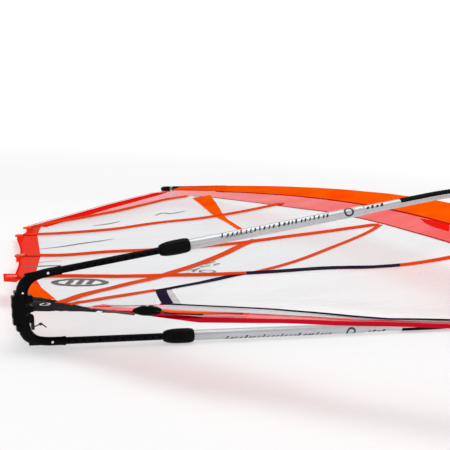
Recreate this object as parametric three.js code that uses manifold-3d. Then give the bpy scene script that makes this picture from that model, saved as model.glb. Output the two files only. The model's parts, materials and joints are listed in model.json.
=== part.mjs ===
// Windsurf sail rig lying on the ground: mast, wide-luff sail with battens, wishbone boom with
// a telescoping tail, and mast extension. Millimetres, +Z up. Inside the tilted "rig" group:
// X runs from the clew forward to the mast, Y up the mast to the head, Z across the sail.
import * as THREE from 'three';
import Module from 'manifold-3d';

const wasm = await Module();
wasm.setup();

// ---- driving dimensions, mm ----
const boomRise = 0.0883; // rad, the boom line climbs forward from the tail
const mastDrop = -0.0753; // rad, the mast falls toward its tip on the ground
const rigLift = 123.2; // boom centre line above the ground at the tail
const centre = { x: -1142.5, y: -727.8, z: 1.5 }; // puts the box's bottom centre at the origin

const mast = { x: 2240, straight: 700, bend: 132, tilt: 0.04, sag: 20.65, r: 24, wall: 3, tipR: 10 };
const mastBottomY = -1500;
const mastJointY = 550;
const mastTipY = 3090;

const arm = { tailHalf: 99, spread: 0.0923, rearR: 17.5, frontR: 15.5, wall: 1.6 };
const armStart = 578; // rear end of the rear arm tubes
const armSplice = 1160; // rear arm ends, front tube goes on
const extR = 11.25;
const extBore = 9.25;
const extEnd = 1060; // inner end of the extension tube, inside the arm
const holeStep = 25;
const firstHole = 187;
const holeCount = 14;
const tailR = 13.2;
const legEnd = 155; // the moulded legs end here
const pinX = 112;
const boomTip = 2188; // centre of the tube at the front of the wishbone

const film = 2; // cloth and film thickness
const gap = 1; // between neighbouring panels
const sleeveW = 235; // mast centre to the rear seam of the luff sleeve

const colours = {
  mast: 0x1c1b1e, plastic: 0x141316, silver: 0xaab0b6, steel: 0xc9c9c9, white: 0xf2f2f2,
  film: 0xeef0f3, window: 0xe4e8ee, orange: 0xfb5a0a, pink: 0xf5706a, red: 0xf01414,
  crimson: 0xc8141e, tape: 0xcb4623, patch: 0x2a282b, line: 0x2b2a2c, batten: 0x3b3d40,
};

// ---- helpers ----
const all = new THREE.Group();
all.name = 'windsurf_rig';
const rig = new THREE.Group();
rig.rotation.set(mastDrop, -boomRise, 0, 'YXZ');
rig.position.set(centre.x, centre.y, rigLift + centre.z);
all.add(rig);

function paint(colour, roughness = 0.5, metalness = 0) {
  return new THREE.MeshStandardMaterial({ color: colour, roughness, metalness });
}

function put(name, geometry, material, parent = rig) {
  const mesh = new THREE.Mesh(geometry, material);
  mesh.name = name;
  parent.add(mesh);
  return mesh;
}

function toSolid(geometry) {
  const plain = geometry.index ? geometry.toNonIndexed() : geometry;
  const pos = plain.attributes.position;
  const keys = new Map();
  const verts = [];
  const tris = [];
  for (let i = 0; i < pos.count; i += 3) {
    const ids = [];
    for (let k = 0; k < 3; k += 1) {
      const p = [pos.getX(i + k), pos.getY(i + k), pos.getZ(i + k)];
      const key = p.map((v) => Math.round(v * 1e4)).join(',');
      if (!keys.has(key)) {
        keys.set(key, keys.size);
        verts.push(...p);
      }
      ids.push(keys.get(key));
    }
    if (ids[0] !== ids[1] && ids[1] !== ids[2] && ids[2] !== ids[0]) tris.push(...ids);
  }
  const mesh = new wasm.Mesh({
    numProp: 3,
    vertProperties: new Float32Array(verts),
    triVerts: new Uint32Array(tris),
  });
  return new wasm.Manifold(mesh);
}

function toGeometry(solid) {
  const mesh = solid.getMesh();
  const geometry = new THREE.BufferGeometry();
  const xyz = new Float32Array(mesh.numProp === 3 ? mesh.vertProperties : []);
  geometry.setAttribute('position', new THREE.BufferAttribute(xyz, 3));
  geometry.setIndex(new THREE.BufferAttribute(new Uint32Array(mesh.triVerts), 1));
  const flat = geometry.toNonIndexed();
  flat.computeVertexNormals();
  return flat;
}

function moved(geometry, { rx = 0, ry = 0, rz = 0, x = 0, y = 0, z = 0 }) {
  const g = geometry.clone();
  g.rotateX(rx);
  g.rotateY(ry);
  g.rotateZ(rz);
  g.translate(x, y, z);
  return g;
}

// solid of revolution about X; profile is [x, r] pairs round a closed outline
function turned(profile, sides = 16) {
  const pts = profile.map(([x, r]) => new THREE.Vector2(r, x));
  const closed = profile[0][1] > 0 ? [...pts, pts[0]] : pts;
  const g = new THREE.LatheGeometry(closed, sides);
  g.rotateZ(-Math.PI / 2);
  return g;
}

function pipe(x0, x1, rOut, rIn, sides = 16) {
  return turned([[x0, rIn], [x0, rOut], [x1, rOut], [x1, rIn]], sides);
}

function rod(x0, x1, r, sides = 12) {
  const g = new THREE.CylinderGeometry(r, r, x1 - x0, sides);
  g.rotateZ(-Math.PI / 2);
  g.translate((x0 + x1) / 2, 0, 0);
  return g;
}

function box(x0, x1, y0, y1, z0, z1) {
  const g = new THREE.BoxGeometry(x1 - x0, y1 - y0, z1 - z0);
  g.translate((x0 + x1) / 2, (y0 + y1) / 2, (z0 + z1) / 2);
  return g;
}

function mapVertices(geometry, fn) {
  const pos = geometry.attributes.position;
  for (let i = 0; i < pos.count; i += 1) {
    const [x, y, z] = fn(pos.getX(i), pos.getY(i), pos.getZ(i));
    pos.setXYZ(i, x, y, z);
  }
  geometry.computeVertexNormals();
  return geometry;
}

function sweep(points, r, sides, steps, rIn = 0) {
  const path = new THREE.CatmullRomCurve3(points.map((p) => new THREE.Vector3(...p)), false, 'centripetal');
  const ring = (radius) => {
    const out = [];
    for (let k = 0; k < sides; k += 1) {
      const a = (2 * Math.PI * k) / sides;
      out.push(new THREE.Vector2(radius * Math.cos(a), radius * Math.sin(a)));
    }
    return out;
  };
  const shape = new THREE.Shape(ring(r));
  if (rIn > 0) shape.holes.push(new THREE.Path(ring(rIn)));
  return new THREE.ExtrudeGeometry(shape, { steps, bevelEnabled: false, extrudePath: path });
}

const lerp = (a, b, t) => a + (b - a) * t;
const clamp = (v, lo, hi) => Math.min(hi, Math.max(lo, v));

// ---- sail shape ----
// the lower mast is straight, the upper mast bends aft toward the head and down onto its tip
const overTop = (u) => Math.max(0, (u - mast.straight) / 1000) ** 2;
const bow = (u) => mast.tilt * u - mast.sag * overTop(u);
const mastX = (u) => mast.x - mast.bend * overTop(u);

function table(rows, u) {
  for (let i = 1; i < rows.length; i += 1) {
    if (u <= rows[i][0] || i === rows.length - 1) {
      const t = clamp((u - rows[i - 1][0]) / (rows[i][0] - rows[i - 1][0]), 0, 1);
      return lerp(rows[i - 1][1], rows[i][1], t);
    }
  }
  return rows[0][1];
}

const draft = [[-1400, 0], [-600, 35], [0, 60], [300, 75], [1000, 50], [1600, 30], [2200, 15], [3000, 0]];
const leechX = [[-1500, 1900], [-100, 120], [0, 50], [550, 50], [970, 150], [1500, 230], [1850, 330],
  [2600, 1000], [3100, 1450]];
const sleeve = (u) => (u < 2400 ? sleeveW : lerp(sleeveW, 58, (u - 2400) / 680));

function height(x, u) {
  const rear = table(leechX, u);
  const t = clamp((x - rear) / Math.max(200, mastX(u) - sleeve(u) - rear), 0, 1);
  return -table(draft, u) * Math.sin(Math.PI * t ** 1.5) + bow(u) * t * t;
}

// panel between two seams given as equal-length lists of [x, u]
function panel(bottom, top, ny, hollow = 0, lift = 0, thick = film) {
  const nx = bottom.length - 1;
  const g = new THREE.BoxGeometry(nx, ny, 1, nx, ny, 1);
  return mapVertices(g, (x, y, z) => {
    const s = x + nx / 2;
    const i = Math.min(nx - 1, Math.floor(s + 1e-6));
    const f = s - i;
    const lo = [lerp(bottom[i][0], bottom[i + 1][0], f), lerp(bottom[i][1], bottom[i + 1][1], f)];
    const hi = [lerp(top[i][0], top[i + 1][0], f), lerp(top[i][1], top[i + 1][1], f)];
    const span = Math.hypot(hi[0] - lo[0], hi[1] - lo[1]);
    const tIn = gap / Math.max(span, 4 * gap);
    const t = lerp(tIn, 1 - tIn, (y + ny / 2) / ny);
    let px = lerp(lo[0], hi[0], t);
    let pu = lerp(lo[1], hi[1], t);
    if (s < 1e-6 || s > nx - 1e-6) {
      const side = s < 1e-6 ? 1 : -1;
      const j = side > 0 ? 1 : nx - 1;
      const dx = (bottom[j][0] + top[j][0]) / 2 - px;
      const du = lerp(bottom[j][1], top[j][1], t) - pu;
      const step = (gap + (side > 0 ? hollow * 4 * t * (1 - t) : 0)) / Math.hypot(dx, du);
      px += dx * step;
      pu += du * step;
    }
    return [px, pu, height(px, pu) + lift + z * thick];
  });
}

// long strips built row by row: rows are [u, x of the rear edge], or scalloped leech rows
function strip(rows, front, perRow) {
  const ny = (rows.length - 1) * perRow;
  const g = new THREE.BoxGeometry(2, ny, 1, 2, ny, 1);
  return mapVertices(g, (x, y, z) => {
    const r = clamp((y + ny / 2) / perRow, 0.003, rows.length - 1.003);
    const i = Math.floor(r);
    const u = lerp(rows[i][0], rows[i + 1][0], r - i);
    const px = lerp(lerp(rows[i][1], rows[i + 1][1], r - i) + gap, front(u), (x + 1) / 2);
    return [px, u, height(px, u) + z * film];
  });
}

function leechTape(outer, inner, hollows, perRow) {
  const ny = (outer.length - 1) * perRow;
  const g = new THREE.BoxGeometry(1, ny, 1, 1, ny, 1);
  return mapVertices(g, (x, y, z) => {
    const r = clamp((y + ny / 2) / perRow, 0, outer.length - 1);
    const i = Math.min(outer.length - 2, Math.floor(r));
    const t = r - i;
    const a = [lerp(outer[i][0], outer[i + 1][0], t), lerp(outer[i][1], outer[i + 1][1], t)];
    const b = [lerp(inner[i][0], inner[i + 1][0], t), lerp(inner[i][1], inner[i + 1][1], t)];
    const len = Math.hypot(b[0] - a[0], b[1] - a[1]);
    const f = x < 0 ? (hollows[i] * 4 * t * (1 - t)) / len : 1 - gap / len;
    const px = lerp(a[0], b[0], f);
    const pu = lerp(a[1], b[1], f);
    return [px, pu, height(px, pu) + z * film];
  });
}

// ---- mast ----
function onMast(geometry, taper) {
  return mapVertices(geometry, (x, y, z) => {
    const k = taper ? taper(y) : 1;
    const dx = (mastX(y + 5) - mastX(y - 5)) / 10;
    const dz = (bow(y + 5) - bow(y - 5)) / 10;
    const nx = 1 / Math.hypot(1, dx);
    const nz = 1 / Math.hypot(1, dz);
    return [mastX(y) + x * k * nx, y - x * k * nx * dx - z * k * nz * dz, bow(y) + z * k * nz];
  });
}

function mastTube(u0, u1, rOut, rIn, steps, sides = 12) {
  const profile = [];
  for (let i = 0; i <= steps; i += 1) profile.push(new THREE.Vector2(rOut, lerp(u0, u1, i / steps)));
  for (let i = steps; i >= 0; i -= 1) profile.push(new THREE.Vector2(rIn, lerp(u0, u1, i / steps)));
  profile.push(profile[0]);
  return new THREE.LatheGeometry(profile, sides);
}

const taper = (u) => lerp(1, mast.tipR / mast.r, clamp((u - 1000) / (mastTipY - 1000), 0, 1) ** 1.1);
const rBore = mast.r - mast.wall;
const blackMast = paint(colours.mast, 0.45);
put('mast_bottom_section', onMast(mastTube(mastBottomY, mastJointY - 0.3, mast.r, rBore, 5)), blackMast);
put('mast_top_section', onMast(mastTube(mastJointY, mastTipY, mast.r, rBore, 12), taper), blackMast);
put('mast_ferrule', onMast(mastTube(mastJointY - 160, mastJointY + 160, rBore - 1, rBore - 4, 2)), blackMast);
const tip = new THREE.LatheGeometry([[0, 0], [16, 0], [17.5, 10], [17, 48], [12, 59], [0, 62]]
  .map(([r, y]) => new THREE.Vector2(r, mastTipY + 0.4 + y)), 12);
put('mast_tip_plug', onMast(tip), paint(colours.plastic, 0.6));

// ---- luff sleeve ----
function sleeveGeometry(u0, u1, steps) {
  const section = (r, rear) => [[-rear, -1.2], [-rear, 1.2], [-rear * 0.42, r * 0.78], [-8, r],
    [r * 0.72, r * 0.72], [r, 0], [r * 0.72, -r * 0.72], [-8, -r], [-rear * 0.42, -r * 0.78]];
  const outer = section(31.4, sleeveW);
  const inner = section(29, sleeveW - 60).map(([x, y], i) => (i < 2 ? [x, y * 1.6] : [x, y]));
  const shape = new THREE.Shape(outer.map(([x, y]) => new THREE.Vector2(x, y)).reverse());
  shape.holes.push(new THREE.Path(inner.map(([x, y]) => new THREE.Vector2(x, y)).reverse()));
  const g = new THREE.ExtrudeGeometry(shape, { depth: u1 - u0, steps, bevelEnabled: false });
  g.rotateX(-Math.PI / 2);
  return mapVertices(g, (x, y, z) => {
    const u = u0 + y;
    const k = Math.max(taper(u), 0.48);
    const rear = sleeve(u);
    const px = x < -8 ? -8 * k + ((x + 8) / (sleeveW - 8)) * (rear - 8 * k) : x * k;
    const dx = (mastX(u + 5) - mastX(u - 5)) / 10;
    const nx = 1 / Math.hypot(1, dx);
    const back = clamp((-8 - x) / (sleeveW - 8), 0, 1);
    const zc = lerp(bow(u), height(mastX(u) - rear, u), back);
    const lean = x < -8 ? 0 : x * k * nx * dx;
    return [mastX(u) + px, u - lean, zc + z * k];
  });
}

const orange = paint(colours.orange, 0.55);
put('luff_sleeve_lower', sleeveGeometry(-1380, -210, 4), orange);
put('luff_sleeve_upper', sleeveGeometry(270, 2990, 13), orange);

// ---- sail seams, [x, u] from the leech forward ----
const seamD = [[92, 536], [150, 516], [250, 482], [460, 425], [640, 412], [900, 398], [1245, 381],
  [1553, 230], [1850, 150]];
const seamC = [[188, 980], [245, 955], [330, 925], [540, 945], [735, 940], [1067, 965], [1400, 985],
  [1650, 930], [1834, 865]];
const seamB = [[270, 1558], [330, 1548], [435, 1530], [690, 1550], [980, 1655], [1200, 1670],
  [1400, 1690], [1600, 1712], [1724, 1715]];
const seamA = [[352, 1833], [405, 1868], [560, 1965], [700, 2058], [840, 2152], [1060, 2335],
  [1277, 2520], [1360, 2532], [1437, 2533]];
const headLine = [[343, 1864], [397, 1922], [600, 2150], [725, 2300], [850, 2445], [1000, 2610],
  [1110, 2730], [1250, 2870], [1340, 2965], [1425, 3050]];
const footEdge = [[240, -147], [330, -235], [458, -415], [654, -532], [776, -625], [902, -705],
  [1250, -965], [1550, -1180], [1870, -1365], [1990, -1436]];
const tapeTop = [[262, -110], [360, -190], [490, -355], [680, -483], [800, -575], [930, -655],
  [1270, -912], [1560, -1120], [1850, -1310], [1990, -1388]];
const windowFoot = [[275, -20], [425, -100], [593, -223], [728, -369], [830, -485], [933, -597],
  [1250, -815], [1550, -1000], [1850, -1150]];
const windowTop = [[505, 130], [650, 200], [787, 275], [900, 350], [962, 395], [1245, 381],
  [1553, 230], [1850, 150]];
const clewRear = [[70, 190], [130, 125]];

const filmPaint = paint(colours.film, 0.3);
const redPaint = paint(colours.red, 0.5);
const panelLists = [
  ['panel_clew', [clewRear[1], [275, -20], [425, -100], [505, 130], [650, 200], [787, 275], [900, 350]],
    [seamD[1], seamD[2], seamD[3], [500, 422], [640, 412], [790, 405], [900, 398]], 2],
  ['panel_lower', seamD.slice(1), seamC.slice(1), 2],
  ['panel_middle', seamC.slice(1), seamB.slice(1), 2],
  ['panel_upper', seamB.slice(1), seamA.slice(1), 2],
];
for (const [name, lo, hi, ny] of panelLists) put(name, panel(lo, hi, ny), filmPaint);
put('panel_head', panel([...seamA, [1585, 2537]], headLine, 2), filmPaint);
put('window_panel', panel(windowFoot.slice(1), windowTop, 3), paint(colours.window, 0.12));
put('foot_panel', panel(tapeTop.slice(0, 9), windowFoot, 1), paint(colours.pink, 0.35));
put('foot_tape', panel(footEdge, tapeTop, 1), paint(colours.crimson, 0.5));
put('leech_tape', leechTape([clewRear[0], seamD[0], seamC[0], seamB[0], seamA[0]],
  [clewRear[1], seamD[1], seamC[1], seamB[1], seamA[1]], [6, 22, 22, 8], 4), redPaint);
const bandRows = [[-1305, 1850], [150, 1850], [865, 1834], [1715, 1724], [2400, 1484], [2533, 1437]];
put('luff_band', strip(bandRows, (u) => mastX(u) - sleeve(u) - 5, 3), paint(colours.pink, 0.4));

// ---- clew patch and eye ----
const eye = { x: 105, u: 42, r: 21, hole: 12 };
const patch = toSolid(panel([[62, 8], [135, -45], [262, -110]], [[70, 190], [130, 125], [275, -20]], 2));
const eyePlug = new THREE.CylinderGeometry(eye.r - 3, eye.r - 3, 40, 16);
const eyeCut = toSolid(moved(eyePlug, { rx: Math.PI / 2, x: eye.x, y: eye.u }));
put('clew_patch', toGeometry(patch.subtract(eyeCut)), paint(colours.patch, 0.7));
const eyeOuter = eye.r - 3.4;
const eyeProfile = [[eye.hole, 2.6], [eye.hole, -2.6], [eyeOuter, -2.6], [eyeOuter, 2.6], [eye.hole, 2.6]];
const eyeRing = new THREE.LatheGeometry(eyeProfile.map(([r, y]) => new THREE.Vector2(r, y)), 18);
put('clew_eye', moved(eyeRing, { rx: Math.PI / 2, x: eye.x, y: eye.u, z: height(eye.x, eye.u) }),
  paint(colours.steel, 0.25, 1));

// ---- battens, pockets and leech tips ----
function along(seam, half, u0, section, lift) {
  const nx = seam.length - 1;
  const pts = section.map(([y, z]) => new THREE.Vector2(y, z));
  const g = new THREE.ExtrudeGeometry(new THREE.Shape(pts), { depth: nx, steps: nx, bevelEnabled: false });
  return mapVertices(g, (y, z, s) => {
    const i = Math.min(nx - 1, Math.floor(s + 1e-6));
    const f = s - i;
    const px = lerp(seam[i][0], seam[i + 1][0], f);
    const pu = lerp(seam[i][1], seam[i + 1][1], f);
    const a = seam[Math.max(0, i - (f < 1e-6 ? 1 : 0))];
    const b = seam[i + 1];
    const len = Math.hypot(b[0] - a[0], b[1] - a[1]);
    const qx = px + (y * (a[1] - b[1])) / len;
    const qu = pu + (y * (b[0] - a[0])) / len;
    return [qx, qu, height(qx, qu) + lift + z];
  });
}

const pocketSection = [[-19, 0], [-9, 0], [-9, 6], [9, 6], [9, 0], [19, 0], [19, 0.8], [10.5, 7.6],
  [-10.5, 7.6], [-19, 0.8]].reverse();
const battenSection = [[-6.5, 0.8], [6.5, 0.8], [6.5, 4.8], [-6.5, 4.8]];
const tipSection = (w) => [[-w, -3.5], [w, -3.5], [w - 2, 8], [2 - w, 8]];
const battenRows = [['lower', seamD], ['middle', seamC], ['upper', seamB], ['head', seamA]];
for (const [name, seam] of battenRows) {
  const dx = seam[1][0] - seam[0][0];
  const du = seam[1][1] - seam[0][1];
  const len = Math.hypot(dx, du);
  const at = (d) => [seam[0][0] + (dx * d) / len, seam[0][1] + (du * d) / len];
  const last = seam.length - 1;
  const end = [lerp(seam[last - 1][0], seam[last][0], 0.85), lerp(seam[last - 1][1], seam[last][1], 0.85)];
  const line = [at(8), ...seam.slice(1, last), end];
  const [tipIn, tipHalf] = name === 'head' ? [-18, 10] : [-5, 17];
  put(`batten_pocket_${name}`, along(line, 0, 0, pocketSection, film / 2 + 1.8), paint(colours.tape, 0.55));
  put(`batten_${name}`, along(line, 0, 0, battenSection, film / 2 + 1.8), paint(colours.batten, 0.4));
  put(`batten_tip_${name}`, along([at(tipIn - 38), at(tipIn)], 0, 0, tipSection(tipHalf), 0),
    paint(colours.orange, 0.5));
}

// short foot batten with its screw tensioner
const tensionerAt = { x: 305, u: -252, z: 19, slope: -0.56 };
const tensioner = new THREE.Group();
tensioner.position.set(tensionerAt.x, tensionerAt.u, tensionerAt.z);
tensioner.rotation.z = Math.atan(tensionerAt.slope);
rig.add(tensioner);
const lens = new THREE.LatheGeometry([[0, -44], [6, -38], [12.5, -22], [15, 0], [13, 22], [8, 39], [0, 44]]
  .map(([r, y]) => new THREE.Vector2(r, y)), 12);
lens.rotateZ(-Math.PI / 2);
lens.translate(48, 0, 0);
const screwBore = moved(new THREE.CylinderGeometry(6.2, 6.2, 60, 12), { rx: Math.PI / 2, x: 48, z: 35 });
put('foot_tensioner_body', toGeometry(toSolid(lens).subtract(toSolid(screwBore))),
  paint(colours.plastic, 0.35), tensioner);
const screw = new THREE.LatheGeometry([[0, 5.4], [5.9, 5.4], [5.9, 14.6], [4.6, 16], [0, 16]]
  .map(([r, y]) => new THREE.Vector2(r, y)), 12);
const slot = toSolid(box(41, 55, -1, 1, 14.8, 22));
const screwSolid = toSolid(moved(screw, { rx: Math.PI / 2, x: 48 }));
put('foot_tensioner_screw', toGeometry(screwSolid.subtract(slot)), paint(colours.steel, 0.2, 1), tensioner);
put('foot_batten', box(96, 330, -4, 4, -11, -7), paint(colours.batten, 0.4), tensioner);

// ---- boom arms ----
function armGroup(side) {
  const g = new THREE.Group();
  g.position.set(0, 0, side * arm.tailHalf);
  g.rotation.y = -side * Math.atan(arm.spread);
  rig.add(g);
  return g;
}
const upperArm = armGroup(1);
const lowerArm = armGroup(-1);
const silver = paint(colours.silver, 0.35, 0.6);
const black = paint(colours.plastic, 0.5);
const sides = [['upper', upperArm, 1], ['lower', lowerArm, -1]];

const collarProfile = [[478, 14.3], [478, 16.6], [486, 20], [500, 22.5], [530, 24.5], [562, 24.5], [574, 23],
  [577.6, 21.5], [577.6, 14.3]];
for (const [name, group, side] of sides) {
  const rearTube = pipe(armStart, armSplice + 40, arm.rearR, arm.frontR + 0.35, 16);
  put(`boom_rear_tube_${name}`, rearTube, silver, group);
  const bore = toSolid(pipe(42, extEnd, extR, extBore, 16));
  const holes = [];
  for (let k = 0; k < holeCount; k += 1) {
    const drill = new THREE.CylinderGeometry(3.4, 3.4, 8, 6);
    holes.push(toSolid(moved(drill, { x: firstHole - 25 + k * holeStep, y: -extR })));
  }
  holes.push(toSolid(moved(new THREE.CylinderGeometry(4.7, 4.7, 8, 8), { x: pinX, y: -extR })));
  put(`boom_extension_${name}`, toGeometry(holes.reduce((a, b) => a.subtract(b), bore)), black, group);
  const ribs = [];
  for (let k = 0; k < 6; k += 1) {
    const a = ((k + 0.5) * Math.PI) / 3;
    ribs.push(toSolid(moved(box(498, 570, -3, 3, 22, 27), { rx: a })));
  }
  const collar = ribs.reduce((a, b) => a.subtract(b), toSolid(turned(collarProfile, 18)));
  put(`boom_collar_${name}`, toGeometry(collar), black, group);
  const pin = new THREE.LatheGeometry([[0, -6.2], [4.3, -6.2], [4.3, 5.2], [3.2, 6.4], [0, 6.4]]
    .map(([r, y]) => new THREE.Vector2(r, y)), 12);
  put(`push_pin_${name}`, moved(pin, { rx: Math.PI, x: pinX, y: -9.0 }), paint(colours.white, 0.35), group);
}

// front tube of the wishbone, bent round to the mast
const armZ = (x) => arm.tailHalf + arm.spread * x;
const frontHalf = [[armSplice - 55, armZ(armSplice - 55)], [1300, armZ(1300)], [1440, armZ(1440)],
  [1560, armZ(1560) - 1],
  [1680, 245], [1800, 238], [1920, 217], [2030, 182], [2115, 138], [2168, 92], [boomTip, 50]];
const loop = [...frontHalf.map(([x, z]) => [x, 0, z]), [boomTip + 1, 0, 0],
  ...frontHalf.map(([x, z]) => [x, 0, -z]).reverse()];
put('boom_front_tube', sweep(loop, arm.frontR - 0.2, 8, 32, arm.frontR - 2), silver);

// ---- tail end: moulded U, block, sheaves, cleat ----
const legZ = (x) => arm.tailHalf + arm.spread * x;
const tailPath = [[legEnd, legZ(legEnd)], [115, legZ(115)], [88, legZ(88) - 1], [62, 98],
  [42, 84], [31, 62]];
const tailLower = tailPath.map(([x, z]) => [x, 0, -z]).reverse();
const tailLoop = [...tailPath.map(([x, z]) => [x, 0, z]), [26, 0, 0], ...tailLower];
const barHalf = [[56, 95], [42, 84], [31, 62], [26, 0]];
const barPath = [...barHalf.map(([x, z]) => [x, 0, z]),
  ...barHalf.slice(0, 3).reverse().map(([x, z]) => [x, 0, -z])];
let tail = toSolid(sweep(tailLoop, tailR, 10, 22));
tail = tail.add(toSolid(sweep(barPath, 18, 12, 14)));
tail = tail.add(toSolid(box(4, 42, -17, 17, -60, 60)));
tail = tail.add(toSolid(box(-4, 60, -15, 15, -40, 46)));
for (const [, group] of sides) {
  group.updateMatrix();
  tail = tail.subtract(toSolid(rodThrough(group, 36, legEnd + 20, extR + 0.3)));
  const pinBore = moved(new THREE.CylinderGeometry(4.8, 4.8, 30, 12), { x: pinX, y: -15 });
  pinBore.applyMatrix4(group.matrix);
  tail = tail.subtract(toSolid(pinBore));
}
function rodThrough(group, x0, x1, r) {
  const g = rod(x0, x1, r, 16);
  g.applyMatrix4(group.matrix);
  return g;
}
const sheaveZ = [18, -12];
for (const z of sheaveZ) tail = tail.subtract(toSolid(box(8, 70, -20, 20, z - 6, z + 6)));
const axleX = 38;
tail = tail.subtract(toSolid(moved(rod(-39, 45, 3.3, 12), { ry: -Math.PI / 2, x: axleX })));
put('boom_tail_end', toGeometry(tail), black);
put('outhaul_axle', moved(rod(-26, 32, 3, 12), { ry: -Math.PI / 2, x: axleX }), paint(colours.steel, 0.3, 1));
const sheaveProfile = [[-4.6, 3.4], [-4.6, 17], [-1.2, 13], [1.2, 13], [4.6, 17], [4.6, 3.4]];
sheaveZ.forEach((z, i) => {
  put(`outhaul_sheave_${i + 1}`, moved(turned(sheaveProfile, 18), { ry: -Math.PI / 2, x: axleX, z }),
    paint(0x2c2b2e, 0.4));
});

// clam cleat under the sheaves
let cleat = toSolid(box(51, 60, -12, 12, -63, -41));
cleat = cleat.subtract(toSolid(box(56.4, 64, -2.8, 2.8, -70, -30)));
put('outhaul_cleat', toGeometry(cleat), paint(0x1d1c1f, 0.4));

// outhaul line: sheave, clew eye, other sheave
const eyeZ = height(eye.x, eye.u);
const outhaul = [[axleX + 3, 15.3, sheaveZ[0]], [62, 21, 17], [86, 34, 12], [eye.x, eye.u, eyeZ + 6],
  [eye.x + 1, eye.u, eyeZ], [eye.x, eye.u, eyeZ - 6], [86, 33, -10], [62, 21, -12],
  [axleX + 3, 15.3, sheaveZ[1]]];
put('outhaul_line', sweep(outhaul, 1.9, 8, 22), paint(colours.line, 0.8));
// free end with a stopper knot
const freePath = [[57.2, 0, -55], [62, -1, -55], [70, -3, -52], [80, -5, -49],
  [88, -7, -53], [96, -9, -61]];
const knot = moved(new THREE.SphereGeometry(7.5, 12, 8), { x: 80, y: -5, z: -49 });
const freeEnd = toSolid(sweep(freePath, 1.9, 8, 16)).add(toSolid(knot));
put('outhaul_free_end', toGeometry(freeEnd), paint(colours.line, 0.8));

// ---- boom head ----
const mastFrame = new THREE.Group();
mastFrame.rotation.x = Math.atan(mast.tilt);
rig.add(mastFrame);
let head = toSolid(moved(new THREE.CylinderGeometry(41, 41, 96, 20), { x: mast.x }));
head = head.add(toSolid(box(2158, 2212, -40, 40, -42, 42)));
head = head.subtract(toSolid(moved(new THREE.CylinderGeometry(30.2, 30.2, 140, 20), { x: mast.x })));
const tipBore = moved(rod(-70, 70, arm.frontR + 5.5, 16), { ry: -Math.PI / 2, x: boomTip + 0.5 });
head = head.subtract(toSolid(tipBore));
for (const z of [-17, 17]) {
  head = head.add(toSolid(box(2272, 2300, 14, 30, z - 5, z + 5)));
}
head = head.add(toSolid(moved(rod(-21, 21, 3, 12), { ry: -Math.PI / 2, x: 2291, y: 22 })));
put('boom_head', toGeometry(head), black, mastFrame);
const liner = mastTube(-52, 52, 29.8, 24.6, 1, 20);
put('boom_head_liner', moved(liner, { x: mast.x }), paint(0x37363a, 0.8), mastFrame);
let lever = toSolid(moved(rod(-11, 11, 8, 16), { ry: -Math.PI / 2, x: 2291, y: 22 }));
lever = lever.add(toSolid(box(2287, 2299, -95, 22, -11, 11)));
lever = lever.subtract(toSolid(moved(rod(-20, 20, 3.3, 12), { ry: -Math.PI / 2, x: 2291, y: 22 })));
put('boom_head_lever', toGeometry(lever), paint(0x232225, 0.4), mastFrame);

// ---- mast extension, base and downhaul ----
const base = new THREE.Group();
base.position.set(mast.x, mastBottomY * Math.hypot(1, mast.tilt) - 0.3, 0);
mastFrame.add(base);
const yTube = (y0, y1, rOut, rIn, n = 16) => moved(pipe(y0, y1, rOut, rIn, n), { rz: Math.PI / 2 });
put('mast_extension_tube', yTube(-128, 230, rBore - 1.2, rBore - 4, 16),
  paint(colours.silver, 0.3, 0.9), base);
put('extension_ring', yTube(-26, -0.6, 30, rBore - 0.2, 18), black, base);
let foot = toSolid(moved(rod(-190, -30, 31, 20), { rz: Math.PI / 2 }));
foot = foot.subtract(toSolid(moved(rod(-129, 20, rBore - 0.2, 16), { rz: Math.PI / 2 })));
for (const z of [-17, 0, 17]) foot = foot.add(toSolid(box(-86, -12, -150, -70, z - 2.6, z + 2.6)));
foot = foot.subtract(toSolid(moved(rod(-129, 20, rBore - 0.2, 16), { rz: Math.PI / 2 })));
foot = foot.subtract(toSolid(moved(rod(-40, 40, 3.3, 12), { ry: -Math.PI / 2, x: -62, y: -100 })));
put('extension_base', toGeometry(foot), black, base);
put('downhaul_axle', moved(rod(-19.5, 19.5, 3, 12), { ry: -Math.PI / 2, x: -62, y: -100 }),
  paint(colours.steel, 0.3, 1), base);
const dhProfile = [[-4.6, 3.4], [-4.6, 19], [-1.2, 14], [1.2, 14], [4.6, 19], [4.6, 3.4]];
put('downhaul_sheave', moved(turned(dhProfile, 18), { ry: -Math.PI / 2, x: -62, y: -100, z: 8.5 }),
  paint(0x2c2b2e, 0.4), base);
// tack block hung from the sail's tack
let tack = toSolid(box(-86, -38, 28, 62, -12, 12));
tack = tack.subtract(toSolid(box(-100, -30, 20, 56, -5.6, 5.6)));
tack = tack.add(toSolid(moved(rod(-10, 10, 3, 12), { ry: -Math.PI / 2, x: -62, y: 40 })));
put('tack_block', toGeometry(tack), paint(colours.steel, 0.35, 0.9), base);
const tackProfile = [[-4.4, 3.4], [-4.4, 14], [-1.2, 10.5], [1.2, 10.5], [4.4, 14], [4.4, 3.4]];
put('tack_sheave', moved(turned(tackProfile, 16), { ry: -Math.PI / 2, x: -62, y: 40 }),
  paint(0x2c2b2e, 0.4), base);
const dhRope = [[-79.5, -99, 8.5], [-79, -60, 7], [-77, -20, 2], [-74.8, 38, 0]];
put('downhaul_line', sweep(dhRope, 1.9, 8, 10), paint(colours.line, 0.8), base);

export default all;
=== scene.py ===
import json
import math

import bmesh
import bpy
from mathutils import Matrix, Vector, noise

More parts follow.
